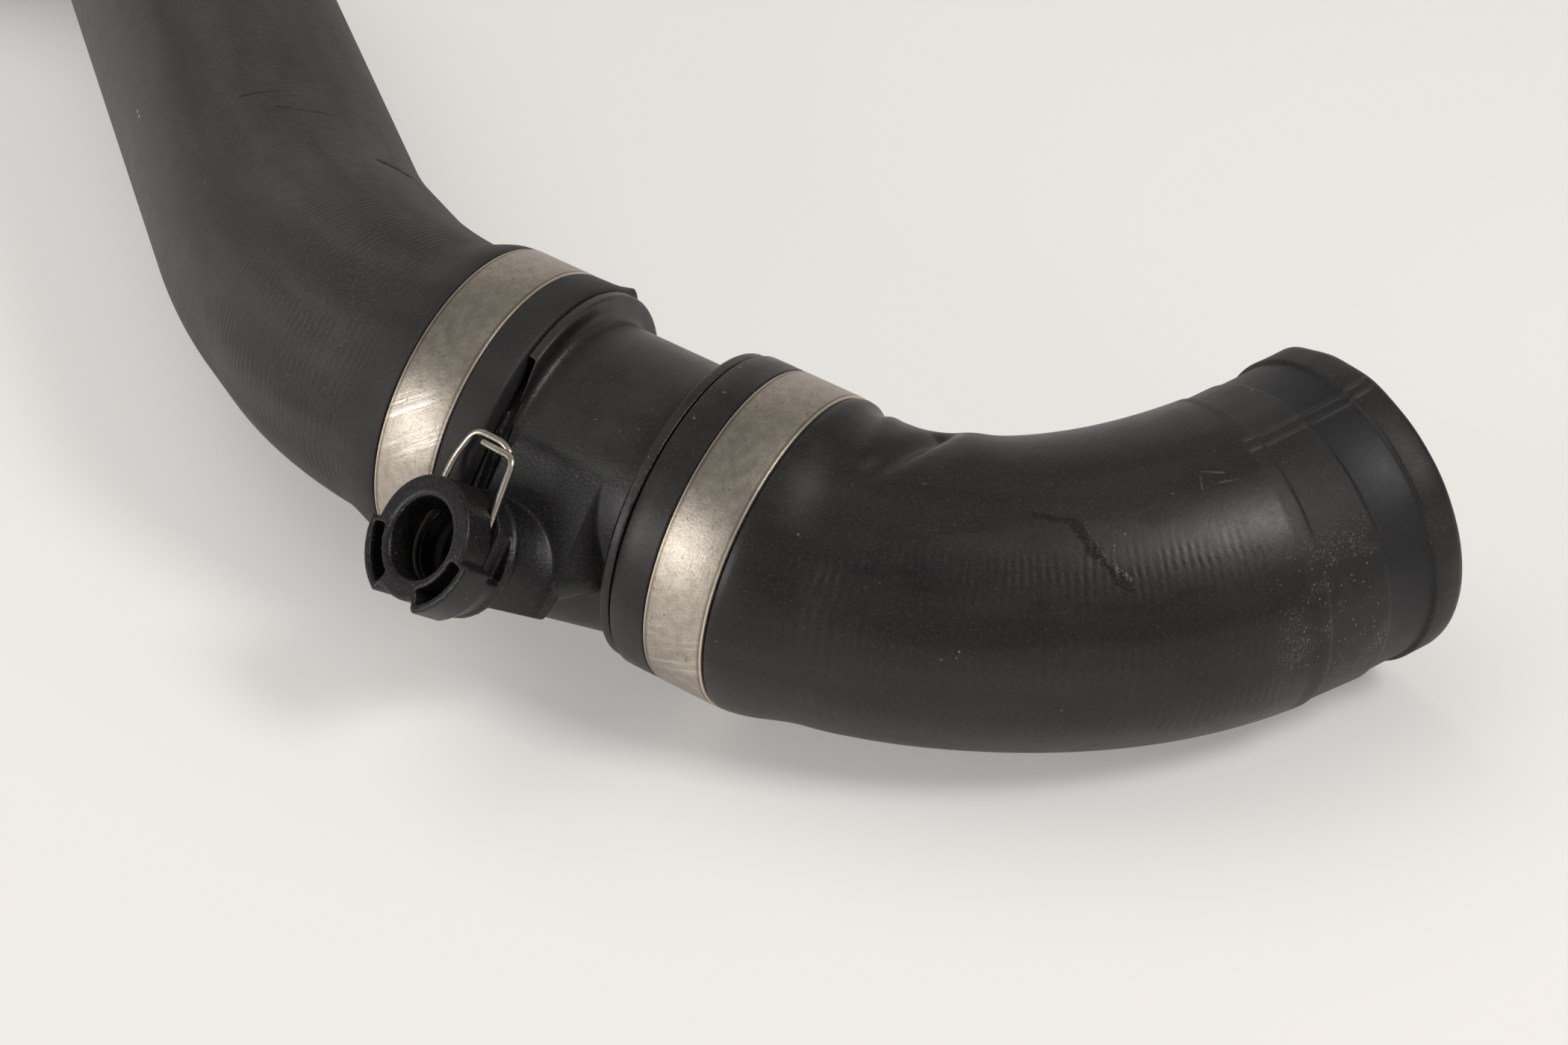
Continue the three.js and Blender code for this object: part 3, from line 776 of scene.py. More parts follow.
def finish_upper_rubber():
    finish, along, angle, arc, colour, height, fine, patch = rubber_finish(
        "upper_hose_rubber", LONG_DARK, LONG_LIGHT, pitch=0.9, ridge_height=1.6)
    at_band = 1 - along.smooth(BAND_LIMIT - 2, BAND_LIMIT + 14)
    colour = finish.mix(at_band * 0.6, colour, LONG_AT_BAND)
    # Painted highlight: the side towards the left lamp is made paler, more so further along.
    lightened = 1 - (angle + 1.9).math("ABSOLUTE").smooth(0.1, 0.7)
    colour = finish.mix(lightened * along.smooth(35, 110) * 0.55, colour, SIDE_HIGHLIGHT)
    for points in CREASES:
        distance = finish.polyline(along, arc, on_skin(points)) + patch * 0.6
        colour, height = crack(finish, colour, height, distance, width=0.85, depth=2.4)
    distance = finish.polyline(along, arc, on_skin(OPEN_CRACK))
    colour, height = crack(finish, colour, height, distance, width=0.8, depth=5.0)
    spot_along, spot_arc = on_skin([SPOTS_AT])[0]
    spots = 1 - (along - spot_along).math("ABSOLUTE").smooth(1.5, 4)
    spots = spots * (1 - (arc - spot_arc).math("ABSOLUTE").smooth(1, 2.4))
    colour = specks(finish, 420, 0.17, spots * 0.8, colour, PALE_SPOTS)
    dust = finish.noise(140, detail=2).smooth(0.62, 0.72)
    colour = specks(finish, 420, 0.13, dust * 0.5, colour, BROWN_DUST)
    finish.set("Base Color", colour)
    finish.set("Roughness", fine * 0.12 + patch * 0.14 + 0.47)
    finish.set("Specular IOR Level", 0.4)
    finish.set("Normal", finish.bump(height, RUBBER_BUMP))
    return finish


upper_rubber = finish_upper_rubber()
print(upper_rubber.material.name, "has", len(upper_rubber.nodes), "nodes")

# %% The long hose itself
ROUND_STEPS = 144
UPPER_COLLAR_R = 25.2
RUBBER_SMOOTH = 40

upper_hose = make_hose("upper_hose_skin", upper_run, UPPER_COLLAR_R, upper_shape, ROUND_STEPS)
settle(upper_hose, upper_rubber, "hose_set", "upper_hose", RUBBER_SMOOTH)

# %% [markdown]
# ## The elbow
#
# The short hose is blacker and smoother. It carries a streak of black grit, sandy grains
# before its cuff, a few light scratches, and two thin mould ribs along the cuff. Grit and
# sand are mostly noise cut off at a level, because dots alone would look printed. The ribs
# are less than a millimetre wide, so this hose is turned in three times as many steps.

# %% Rubber of the elbow
ELBOW_DARK = (0.0075, 0.007, 0.0071)
ELBOW_LIGHT = (0.028, 0.0255, 0.024)
GRIT_BLACK = (0.005, 0.0045, 0.004)
SMUDGE_BLACK = (0.006, 0.0055, 0.0055)
SAND = (0.19, 0.145, 0.095)
SAND_GRAINS = (0.24, 0.19, 0.13)
TAN_DUST = (0.26, 0.23, 0.18)
SCRATCH_GREY = (0.12, 0.11, 0.1)
RIB_GREY = (0.035, 0.031, 0.029)
SEAT_BLUE_BLACK = (0.0095, 0.0105, 0.0125)
GRIT_STREAK = [(52, 62), (57, 65), (58.5, 74), (60, 80), (62.5, 90)]
SCRATCHES = ([(76, 54), (79, 57)], [(77.5, 60), (80.5, 61)], [(75.5, 56), (75, 61)])


def finish_lower_rubber():
    total = lower_run.length
    finish, along, angle, arc, colour, height, fine, patch = rubber_finish(
        "lower_hose_rubber", ELBOW_DARK, ELBOW_LIGHT, pitch=1.1, ridge_height=0.6,
        smooth_after=total - CUFF_LENGTH, smooth_over=1.15)
    # Streak of grit
    streak = finish.polyline(along, arc, on_skin(GRIT_STREAK))
    grit = finish.noise(1900, detail=3, roughness=0.75)
    mask = (1 - (streak + patch * 2.4 - 1.2).smooth(0.15, 0.85)) * grit.smooth(0.42, 0.54)
    colour = finish.mix(mask * 0.85, colour, GRIT_BLACK)
    height = height + mask * 2.5
    smudge = finish.skin_noise(along * 0.07, arc * 0.24, detail=3, roughness=0.7, layer=5)
    belt = (1 - (angle - 1.45).math("ABSOLUTE").smooth(0.1, 0.8)) * (1 - along.smooth(70, 84))
    colour = finish.mix(smudge.smooth(0.55, 0.68) * belt * 0.5, colour, SMUDGE_BLACK)
    # Sand before the cuff
    near_cuff = along.smooth(77, 85) * angle.smooth(1.4, 1.8) * (1 - angle.smooth(2.4, 2.9))
    near_cuff = near_cuff * (1 - along.smooth(94, 96) * 0.85)
    clusters = finish.noise(110, detail=3, roughness=0.65).smooth(0.47, 0.62)
    sand = finish.noise(3600, detail=2, roughness=0.6).smooth(0.56, 0.62)
    colour = finish.mix(sand * near_cuff * clusters * 0.9, colour, SAND)
    colour = specks(finish, 900, 0.14, near_cuff * 0.9, colour, SAND_GRAINS)
    dust = finish.noise(120, detail=2).smooth(0.56, 0.7)
    colour = specks(finish, 480, 0.11, dust * 0.6, colour, TAN_DUST)
    for points in SCRATCHES:
        distance = finish.polyline(along, arc, on_skin(points)) + patch * 0.5
        colour = finish.mix((1 - distance.smooth(0.2, 0.45)) * 0.5, colour, SCRATCH_GREY)
    # Ribs and clamp seat of the cuff
    on_cuff = along.smooth(total - 25.5, total - 24.5)
    on_cuff = on_cuff * (1 - along.smooth(total - 1.6, total - 1.0))
    for first_turn, last_turn in CUFF_RIBS:
        chain = on_skin([(total - CUFF_LENGTH, first_turn), (total, last_turn)])
        rib = 1 - finish.segment(along, arc, *chain).smooth(0.12, 0.42)
        height = height + rib * on_cuff
        colour = finish.mix(rib * on_cuff * 0.4, colour, RIB_GREY)
    seat = along.smooth(total - 14.2, total - 13.8) * (1 - along.smooth(total - 6.0, total - 5.6))
    colour = finish.mix(seat * 0.6, colour, SEAT_BLUE_BLACK)
    finish.set("Base Color", colour)
    finish.set("Roughness", fine * 0.12 + patch * 0.14 + 0.27 + on_cuff * 0.12)
    finish.set("Specular IOR Level", 0.33)
    finish.set("Normal", finish.bump(height * (1 - seat * 0.5), RUBBER_BUMP))
    return finish


lower_rubber = finish_lower_rubber()
print(lower_rubber.material.name, "has", len(lower_rubber.nodes), "nodes")

# %% The elbow itself
LOWER_COLLAR_R = 25.0

lower_hose = make_hose("lower_hose_skin", lower_run, LOWER_COLLAR_R, lower_shape, 3 * ROUND_STEPS)
settle(lower_hose, lower_rubber, "hose_set", "lower_hose", RUBBER_SMOOTH)

# %% [markdown]
# ## The crimp bands
#
# Each hose is held by a closed steel ring that a press has squeezed from all round. It could
# be a tube with bevelled edges, but a short profile with rounded outer corners gives them
# in one turn. The ring keeps the same two attributes as a hose, and the brushing of the
# steel runs round it by them.

# %% Shape of a band
BAND_R = 26.0
BAND_T = 0.9


def make_band(name, side):
    profile = [(BAND_START, BAND_R - BAND_T), (BAND_START, BAND_R - 0.35)]
    profile += [(BAND_START + 0.12, BAND_R - 0.1), (BAND_START + 0.4, BAND_R)]
    profile += [(BAND_END - 0.4, BAND_R), (BAND_END - 0.12, BAND_R - 0.1)]
    profile += [(BAND_END, BAND_R - 0.35), (BAND_END, BAND_R - BAND_T)]
    profile = [(side * along, radius) for along, radius in profile]
    band = turned(name, profile + [profile[0]], ROUND_STEPS)
    keep_round(band)
    return band


print("band width in mm:", round(BAND_END - BAND_START, 2))

# %% Steel of a band
STEEL_BUMP = 0.00004
STEEL_DARK = (0.4, 0.355, 0.3)
STEEL_LIGHT = (0.53, 0.48, 0.418)
STEEL_SPECKLE = (0.3, 0.255, 0.205)
STEEL_CUT = (0.82, 0.77, 0.7)
STEEL_STAIN = (0.13, 0.085, 0.05)
STEEL_BROWN = (0.17, 0.115, 0.07)
STEEL_RIM_GLINT = (0.8, 0.72, 0.6)


def finish_band(name, scratch_angle, scratch_turn):
    """Satin steel with fine round brushing, speckle, brown edges, a painted glint on the rims and
    a patch of scratches.
    """
    finish = Finish(name, (0.56, 0.5, 0.43), roughness=0.38, metallic=1.0)
    along = finish.attribute("along").math("ABSOLUTE")
    angle = finish.attribute("angle")
    arc = angle * BAND_R
    brushed = finish.skin_noise(along * 7, arc * 0.3, roughness=0.7)
    speckle = finish.skin_noise(along * 2.4, arc * 2.4, roughness=0.7)
    mottle = finish.skin_noise(along * 0.55, arc * 0.42, roughness=0.65, layer=3)
    lean_x, lean_y = cos(radians(scratch_turn)), sin(radians(scratch_turn))
    across = along * lean_x + arc * lean_y
    down = arc * lean_x - along * lean_y
    lines = finish.skin_noise(across * 0.8, down * 0.05, roughness=0.75)
    region = 1 - ((angle - radians(scratch_angle)).math("ABSOLUTE").smooth(0.14, 0.34))
    cuts = lines.smooth(0.48, 0.68) * region
    colour = finish.mix(mottle.smooth(0.3, 0.72), STEEL_DARK, STEEL_LIGHT)
    colour = finish.mix(speckle.smooth(0.48, 0.64) * 0.5, colour, STEEL_SPECKLE)
    colour = finish.mix(cuts * 0.5, colour, STEEL_CUT)
    stain = finish.skin_noise(along * 0.9, arc * 0.5, detail=3, roughness=0.7, layer=7)
    colour = finish.mix(stain.smooth(0.64, 0.7) * 0.75, colour, STEEL_STAIN)
    from_middle = (along - (BAND_START + BAND_END) / 2).math("ABSOLUTE")
    near_end = from_middle - (BAND_END - BAND_START) / 2
    brown = near_end.smooth(-0.95, -0.6) * (1 - near_end.smooth(-0.42, -0.3))
    # Painted highlight: the outermost rounded rim is made bright.
    bright = near_end.smooth(-0.42, -0.3)
    colour = finish.mix(brown * 0.6, colour, STEEL_BROWN)
    colour = finish.mix(bright * 0.6, colour, STEEL_RIM_GLINT)
    height = brushed * 0.4 + speckle * 0.9 + mottle * 0.4 - cuts * 0.6
    finish.set("Base Color", colour)
    finish.set("Roughness", speckle * 0.2 + mottle * 0.1 + 0.27 - cuts * 0.06)
    finish.set("Normal", finish.bump(height, STEEL_BUMP))
    return finish


upper_steel = finish_band("upper_band_steel", scratch_angle=104, scratch_turn=-50)
lower_steel = finish_band("lower_band_steel", scratch_angle=141, scratch_turn=62)
print("steel finishes:", upper_steel.material.name, lower_steel.material.name)

# %% Both bands
upper_band = make_band("upper_band_ring", -1)
settle(upper_band, upper_steel, "hose_set", "upper_crimp_band")
lower_band = make_band("lower_band_ring", 1)
settle(lower_band, lower_steel, "hose_set", "lower_crimp_band")

# %% [markdown]
# ## The connector
#
# One moulding: the pipe with its two flanges and barbed spigots, a flat-fronted housing
# with a rounded underside, and the slanted socket for the sensor. It could be pulled out of
# one mesh, but its bodies meet at odd angles. So it is put together from turned and swept
# bodies with booleans, as a mould maker would cut it. The socket leans, so its bodies are
# made on a frame of its own: U towards the lower hose, V up, W out of the mouth.

# %% The socket's frame
SOCKET_TILT = 19.7
SOCKET_FACE = Vector((-11.9, -19.3, 34.4))
SOCKET = Matrix.Translation(SOCKET_FACE) @ Matrix.Rotation(radians(-SOCKET_TILT), 4, "Y")
X_TO_W = Matrix.Rotation(radians(-90), 4, "Y")
print("mouth of the socket in mm:", tuple(SOCKET_FACE))


# %% Bodies in a frame
SOCKET_STEPS = 96


def carried(thing, matrix):
    """Moves a piece by the matrix and bakes the move into its mesh."""
    bpy.ops.object.select_all(action="DESELECT")
    thing.select_set(True)
    bpy.context.view_layer.objects.active = thing
    thing.matrix_world = matrix @ thing.matrix_world
    bpy.ops.object.transform_apply(location=True, rotation=True, scale=True)
    return thing


def closed_turn(name, profile, steps=SOCKET_STEPS):
    """Turns a profile whose two ends are drawn in to the axis."""
    first, last = profile[0][0], profile[-1][0]
    return turned(name, [(first, 0), *profile, (last, 0)], steps)


def socket_turn(name, profile):
    """The same about the socket's axis; each point is (depth behind the mouth, radius)."""
    return carried(closed_turn(name, [(-d, r) for d, r in profile]), SOCKET @ X_TO_W)


def block(name, low, high, matrix=None):
    """A box between two corners, in the frame of the matrix."""
    bpy.ops.mesh.primitive_cube_add(size=1)
    thing = bpy.context.object
    thing.name = name
    thing.scale = [b - a for a, b in zip(low, high)]
    thing.location = [(a + b) / 2 for a, b in zip(low, high)]
    return carried(thing, matrix or Matrix())


# %% Part of a ring, and cutting
SECTOR_STEPS = 28
ROUND_SEGMENTS = 5
END_FACE = 1e-3
ALONG_EDGE = 0.1


def sector(name, inner, outer, angle, arc, depth_from, depth_to, rounding):
    """Part of a ring about the socket's axis, with rounded corners when seen from the front."""
    section = [(-depth_from, inner), (-depth_from, outer), (-depth_to, outer), (-depth_to, inner)]
    thing = draw_line(name, [(along, radius, 0) for along, radius in section])
    bpy.ops.mesh.edge_face_add()
    bpy.ops.mesh.spin(steps=SECTOR_STEPS, angle=radians(arc), center=(0, 0, 0), axis=(1, 0, 0))
    bpy.ops.mesh.select_all(action="SELECT")
    bpy.ops.mesh.remove_doubles(threshold=MERGE)
    bpy.ops.mesh.normals_make_consistent(inside=False)
    bpy.ops.object.mode_set(mode="OBJECT")
    turns = [atan2(point.co.z, point.co.y) for point in thing.data.vertices]
    carried(thing, Matrix.Rotation(-(min(turns) + max(turns)) / 2, 4, "X"))
    half_arc = radians(arc) / 2
    bpy.ops.object.mode_set(mode="EDIT")
    bpy.ops.mesh.select_mode(type="EDGE")
    bpy.ops.mesh.select_all(action="DESELECT")
    bpy.ops.object.mode_set(mode="OBJECT")
    for edge in thing.data.edges:
        a, b = [thing.data.vertices[i].co for i in edge.vertices]
        at_end = all(abs(abs(atan2(c.z, c.y)) - half_arc) < END_FACE for c in (a, b))
        edge.select = at_end and abs(a.x - b.x) > ALONG_EDGE
    bpy.ops.object.mode_set(mode="EDIT")
    bpy.ops.mesh.bevel(offset=rounding, segments=ROUND_SEGMENTS, affect="EDGES")
    bpy.ops.object.mode_set(mode="OBJECT")
    # The middle of the arc lies on Y, which becomes the socket's V, at 90 degrees
    return carried(thing, SOCKET @ Matrix.Rotation(radians(angle - 90), 4, "Z") @ X_TO_W)


def boolean(operation, things, other):
    """Cuts each of the things by the other piece, or intersects them; the other is used up."""
    for thing in things:
        bpy.ops.object.select_all(action="DESELECT")
        thing.select_set(True)
        bpy.context.view_layer.objects.active = thing
        cut = thing.modifiers.new(operation.lower(), "BOOLEAN")
        cut.operation = operation
        cut.object = other
        cut.solver = "MANIFOLD"
        bpy.ops.object.modifier_apply(modifier=cut.name)
    bpy.data.objects.remove(other)


# %% [markdown]
# ## The pipe
#
# The water runs through a straight pipe. Each end is a spigot with three low barbs that
# grip the rubber, and a flange stops the hose. All of it is round, so half of the outline
# is written down, mirrored and turned. The fillet under the flange is three short steps,
# which the later smoothing makes one curve.

# %% Pipe with flanges and barbs
NECK_R = 21.5
PIPE_BORE_R = 18.6
SPIGOT_R = 21.3
SPIGOT_END = 31.0
BARBS = 3
BARB_PITCH = 4
BARB_R = 21.9
FLANGE_R = 25.5
FLANGE_FACE = 13.2
FLANGE_IN = 11.4
FILLET = 1.6
FINE_STEPS = 128

pipe_half = [(FLANGE_IN - FILLET, NECK_R), (FLANGE_IN - 0.8, NECK_R + 0.2)]
pipe_half += [(FLANGE_IN - 0.25, NECK_R + 0.75), (FLANGE_IN, NECK_R + FILLET)]
pipe_half += [(FLANGE_IN, FLANGE_R - 0.3), (FLANGE_IN + 0.3, FLANGE_R), (FLANGE_FACE, FLANGE_R)]
pipe_half += [(FLANGE_FACE, SPIGOT_R)]
for barb in range(BARBS):
    barb_at = SPIGOT_END - (BARBS - barb) * BARB_PITCH
    pipe_half += [(barb_at, SPIGOT_R), (barb_at + 0.4, BARB_R), (barb_at + 3.7, SPIGOT_R - 0.2)]
pipe_half += [(SPIGOT_END, SPIGOT_R - 1.0)]
pipe_profile = [(-along, radius) for along, radius in reversed(pipe_half)] + pipe_half
pipe = closed_turn("connector_skin", pipe_profile, FINE_STEPS)
print("pipe:", len(pipe.data.vertices), "points")

# %% [markdown]
# ## The housing
#
# Between the flanges the neck is thickened to carry the socket: a flat front with a soft
# lower edge, and a rounded keel below. The flat front could be a cube, but its edge has a
# bow and its far end falls away, so its outline is drawn, extruded twice and shrunk at the
# last step. The keel is a cylinder whose two ends are shifted down by different amounts.

# %% Flat front
PAD_Z = 21.5
PAD_LOW = 19.2
PAD_EDGE = 1.2
PAD_EDGE_STEPS = 6
PAD_END_X = 5.5
PAD_FALL = 0.76
PAD_LAP = 0.03
FRONT_DEPTH = 3

pad_section = [(0, 0), (0, PAD_Z), (-PAD_LOW + PAD_EDGE, PAD_Z)]
for step in range(1, PAD_EDGE_STEPS + 1):
    t = step / PAD_EDGE_STEPS
    bow = [(1 - t) ** 2, 2 * t * (1 - t), t ** 2]
    y = bow[0] * (-PAD_LOW + PAD_EDGE) + bow[1] * (-PAD_LOW - 0.6) + bow[2] * (-PAD_LOW - 1)
    z = (bow[0] + bow[1]) * PAD_Z + bow[2] * (PAD_Z - FRONT_DEPTH)
    pad_section.append((y, z))
pad_section += [(-PAD_LOW, PAD_Z / 2), (-PAD_LOW + 1, 0)]
pad = draw_line("pad", [(-FLANGE_IN - PAD_LAP, y, z) for y, z in pad_section])
bpy.ops.mesh.edge_face_add()
for length in (FLANGE_IN + PAD_END_X + PAD_LAP, FLANGE_IN - PAD_END_X):
    bpy.ops.mesh.extrude_region_move(TRANSFORM_OT_translate={"value": (length, 0, 0)})
bpy.ops.transform.resize(value=(1, PAD_FALL, PAD_FALL), center_override=(0, 0, 0))
bpy.ops.mesh.select_all(action="SELECT")
bpy.ops.mesh.normals_make_consistent(inside=False)
bpy.ops.object.mode_set(mode="OBJECT")
print("flat front:", len(pad.data.vertices), "points")

# %% Keel
KEEL_R = 16.5
KEEL_DEEP = 27.3
KEEL_SHALLOW = 22.6
KEEL_LIFT = 4.5
KEEL_HALF = FLANGE_IN + 0.06

keel = closed_turn("keel", [(-KEEL_HALF, KEEL_R), (KEEL_HALF, KEEL_R)], FINE_STEPS)
bpy.ops.object.mode_set(mode="EDIT")
for side, deep, lift in ((-1, KEEL_DEEP, KEEL_LIFT), (1, KEEL_SHALLOW, KEEL_LIFT / 2)):
    bpy.ops.mesh.select_mode(type="VERT")
    bpy.ops.mesh.select_all(action="DESELECT")
    bpy.ops.object.mode_set(mode="OBJECT")
    for point in keel.data.vertices:
        point.select = point.co.x * side > 0
    bpy.ops.object.mode_set(mode="EDIT")
    bpy.ops.transform.translate(value=(0, KEEL_R - deep, lift))
bpy.ops.object.mode_set(mode="OBJECT")
print("keel:", len(keel.data.vertices), "points")

# %% [markdown]
# ## The socket
#
# The sensor is turned in between two hollow lugs on a short barrel with a rim, and the
# barrel grows out of the neck by a flared foot. Barrel and foot are turned on the slanted
# axis. The foot would stick out past the keel, so what lies below the keel's lower line is
# cut away. The lugs are sectors of a ring, tapered by what they share with a turned body.

# %% Barrel, rim and foot
BARREL_R = 9.6
BARREL_LENGTH = 10.0
RIM_R = 9.95
RIM_T = 1.0
REACH = 60.0

rim_end = BARREL_LENGTH + RIM_T
barrel_profile = [(0, BARREL_R - 0.25), (0.25, BARREL_R), (BARREL_LENGTH, BARREL_R)]
barrel_profile += [(BARREL_LENGTH + 0.02, RIM_R), (rim_end, RIM_R)]
barrel = socket_turn("barrel", barrel_profile)
foot_profile = [(BARREL_LENGTH - 0.5, 9.0), (rim_end + 0.3, 9.0), (13, 9.35), (14.8, 9.85)]
foot_profile += [(16.3, 10.45), (17.4, 11.0), (18.2, 11.6), (20, 11.8)]
foot = socket_turn("foot", foot_profile)
slope = (KEEL_DEEP - KEEL_SHALLOW) / (2 * FLANGE_IN)
keel_mean = (KEEL_DEEP + KEEL_SHALLOW) / 2
underside = [(x, -keel_mean + slope * x, 0) for x in (-REACH, REACH)]
allowed = draw_line("allowed", [*underside, (REACH, REACH, 0), (-REACH, REACH, 0)])
bpy.ops.mesh.edge_face_add()
bpy.ops.mesh.extrude_region_move(TRANSFORM_OT_translate={"value": (0, 0, REACH)})
bpy.ops.mesh.select_all(action="SELECT")
bpy.ops.mesh.normals_make_consistent(inside=False)
bpy.ops.object.mode_set(mode="OBJECT")
boolean("INTERSECT", [foot], allowed)
print("barrel and foot:", len(barrel.data.vertices) + len(foot.data.vertices), "points")

# %% Two lugs
LUG_R = 11.4
LUG_LENGTH = 5.6
LUG_ARC = 66
LUG_ANGLES = (-146, -34)
LUG_ROUND = 1.1
SENSOR_R = 6.3

lugs = []
for number, angle in enumerate(LUG_ANGLES):
    arc = (f"lug_{number}", SENSOR_R + 1, LUG_R, angle, LUG_ARC)
    lugs.append(sector(*arc, depth_from=0, depth_to=BARREL_LENGTH + 1, rounding=LUG_ROUND))
taper = [(-0.1, LUG_R - 0.3), (0.3, LUG_R + 0.05), (LUG_LENGTH, LUG_R + 0.05)]
taper += [(BARREL_LENGTH, BARREL_R - 0.1)]
boolean("INTERSECT", lugs, socket_turn("taper", taper))
print("lugs:", [len(lug.data.vertices) for lug in lugs], "points")

# %% [markdown]
# ## The cuts
#
# A mould has cores where the moulding is hollow. Here each core is a body of its own, taken
# away by a boolean: room for band and hose, a flat with a cut beside it on the first
# flange, the waterway, the stepped bore for the sensor, the clip's slots and the hollows of
# the lugs. One core can be used on several bodies before they are joined, so that every
# boolean works on a small closed mesh.

# %% Room for the hose, flat and waterway
BAND_ROOM = 26.6
CLEAR_R = SPIGOT_R + 0.3
FLAT_Z = FLANGE_R - 2.5
WEDGE_TURN = 4

room = [(-BAND_END, CLEAR_R), (-BAND_END, BAND_ROOM), (-FLANGE_FACE, BAND_ROOM)]
room += [(-FLANGE_FACE, CLEAR_R), (-BAND_END, CLEAR_R)]
boolean("DIFFERENCE", [pad, keel, barrel, foot], turned("room", room, FINE_STEPS))

flat_half = (FLANGE_R ** 2 - FLAT_Z ** 2) ** 0.5
flat = block("flat", (-14.2, -flat_half - 1, FLAT_Z), (-10.4, flat_half, FLANGE_R + 1))
boolean("DIFFERENCE", [pipe], flat)
wedge_place = Matrix.Translation((-12.0, flat_half, CLEAR_R))
wedge_place = wedge_place @ Matrix.Rotation(radians(WEDGE_TURN), 4, "Z")
wedge = block("wedge", (-1.8, -2 * flat_half, -1), (0, 0, FLANGE_R), wedge_place)
boolean("DIFFERENCE", [wedge], closed_turn("keep", [(-SPIGOT_END, CLEAR_R), (0, CLEAR_R)]))
boolean("DIFFERENCE", [pipe], wedge)

waterway = [(-SPIGOT_END - 1, PIPE_BORE_R), (SPIGOT_END + 1, PIPE_BORE_R)]
boolean("DIFFERENCE", [pipe, pad, keel, foot], closed_turn("waterway", waterway, FINE_STEPS))
print("pipe after its cuts:", len(pipe.data.vertices), "points")

# %% Bore for the sensor
LEAD_IN_R = 6.9
NOSE_R = 5.2
TIP_R = 3.9

bore = [(-1, LEAD_IN_R), (0, LEAD_IN_R), (0.45, SENSOR_R), (9.6, SENSOR_R), (10.6, NOSE_R)]
bore += [(20, NOSE_R), (21, TIP_R), (38, TIP_R)]
boolean("DIFFERENCE", [pipe, pad, keel, barrel, foot], socket_turn("bore", bore))
print("barrel with its bore:", len(barrel.data.vertices), "points")

# %% Slots for the clip
SLOT_FRONT = 5.2
SLOT_BACK = 6.8
WINDOW_BACK = 9.3
CHANNEL_OUT = 7.8
BRIDGE_HALF = 5.1
CUT_OUT = 12.4
WINDOW_LOW = -1.6

round_slot = socket_turn("slot", [(SLOT_FRONT, CHANNEL_OUT), (SLOT_BACK, CHANNEL_OUT)])
slot_top = (CUT_OUT, CUT_OUT, -SLOT_FRONT + 1)
upper_half = block("upper", (-CUT_OUT, 0, -SLOT_BACK - 1), slot_top, SOCKET)
boolean("DIFFERENCE", [round_slot], upper_half)
boolean("DIFFERENCE", [barrel, *lugs], round_slot)
for side in (-1, 1):
    for near, back in ((BRIDGE_HALF, SLOT_BACK), (CHANNEL_OUT, WINDOW_BACK)):
        low_u, high_u = sorted((side * near, side * CUT_OUT))
        high = (high_u, CUT_OUT, -SLOT_FRONT)
        window = block("window", (low_u, WINDOW_LOW, -back), high, SOCKET)
        boolean("DIFFERENCE", [barrel, *lugs], window)
print("barrel with its slots:", len(barrel.data.vertices), "points")

# %% Hollows of the lugs
POCKET_IN = 7.8
POCKET_OUT = 10.2
POCKET_ARC = 57
POCKET_DEEP = 4.4
POCKET_ROUND = 0.6

for number, angle in enumerate(LUG_ANGLES):
    arc = (f"pocket_{number}", POCKET_IN, POCKET_OUT, angle, POCKET_ARC)
    pocket = sector(*arc, depth_from=-1, depth_to=POCKET_DEEP, rounding=POCKET_ROUND)
    boolean("DIFFERENCE", [barrel, *lugs], pocket)
print("hollow lugs:", [len(lug.data.vertices) for lug in lugs], "points")

# %% [markdown]
# ## Moulded edges
#
# The bodies overlap and have knife-sharp edges, while a moulding is one skin whose edges
# have a small radius. A bevel would fail on so many cut corners. So the bodies are joined
# and given one new skin of small voxels, a few rounds of smoothing round off the edges,
# and a decimation takes out the triangles that flat places don't need.

# %% Put together
bpy.ops.object.select_all(action="DESELECT")
for thing in (pad, keel, barrel, foot, *lugs, pipe):
    thing.select_set(True)
bpy.context.view_layer.objects.active = pipe
bpy.ops.object.join()
connector = pipe
print("connector before the remesh:", len(connector.data.vertices), "points")

# %% One soft skin
VOXEL = 0.24
SMOOTH_ROUNDS = 5
CONNECTOR_TRIANGLES = 190000

bpy.context.view_layer.objects.active = connector
connector.select_set(True)
skin = connector.modifiers.new("fine", "REMESH")
skin.mode = "VOXEL"
skin.voxel_size = VOXEL
bpy.ops.object.modifier_apply(modifier=skin.name)
print("remeshed:", len(connector.data.vertices), "points")
soft = connector.modifiers.new("soft", "SMOOTH")
soft.factor = 0.5
soft.iterations = SMOOTH_ROUNDS
bpy.ops.object.modifier_apply(modifier=soft.name)
lean = connector.modifiers.new("lean", "DECIMATE")
lean.ratio = CONNECTOR_TRIANGLES / (2 * len(connector.data.vertices))
bpy.ops.object.modifier_apply(modifier=lean.name)

# %% [markdown]
# ## Nylon
#
# Glass-filled nylon has a fine grain that shows as bright points, patches that are a little
# smoother, and here brown dust on the upper side of the neck. The dust could follow the
# normal inside the material, but would then slide when the piece is turned. So how far each
# point faces up is stored as an attribute, and the flat front is held low in it, so that it
# stays dark.

# %% Nylon finish
NYLON_BUMP = 0.00007
NYLON_CLEAN = (0.005, 0.0049, 0.0053)
NYLON_DUST = (0.031, 0.0272, 0.0245)
NYLON_GRAIN = (0.032, 0.029, 0.027)
NYLON_DOTS = (0.16, 0.13, 0.1)


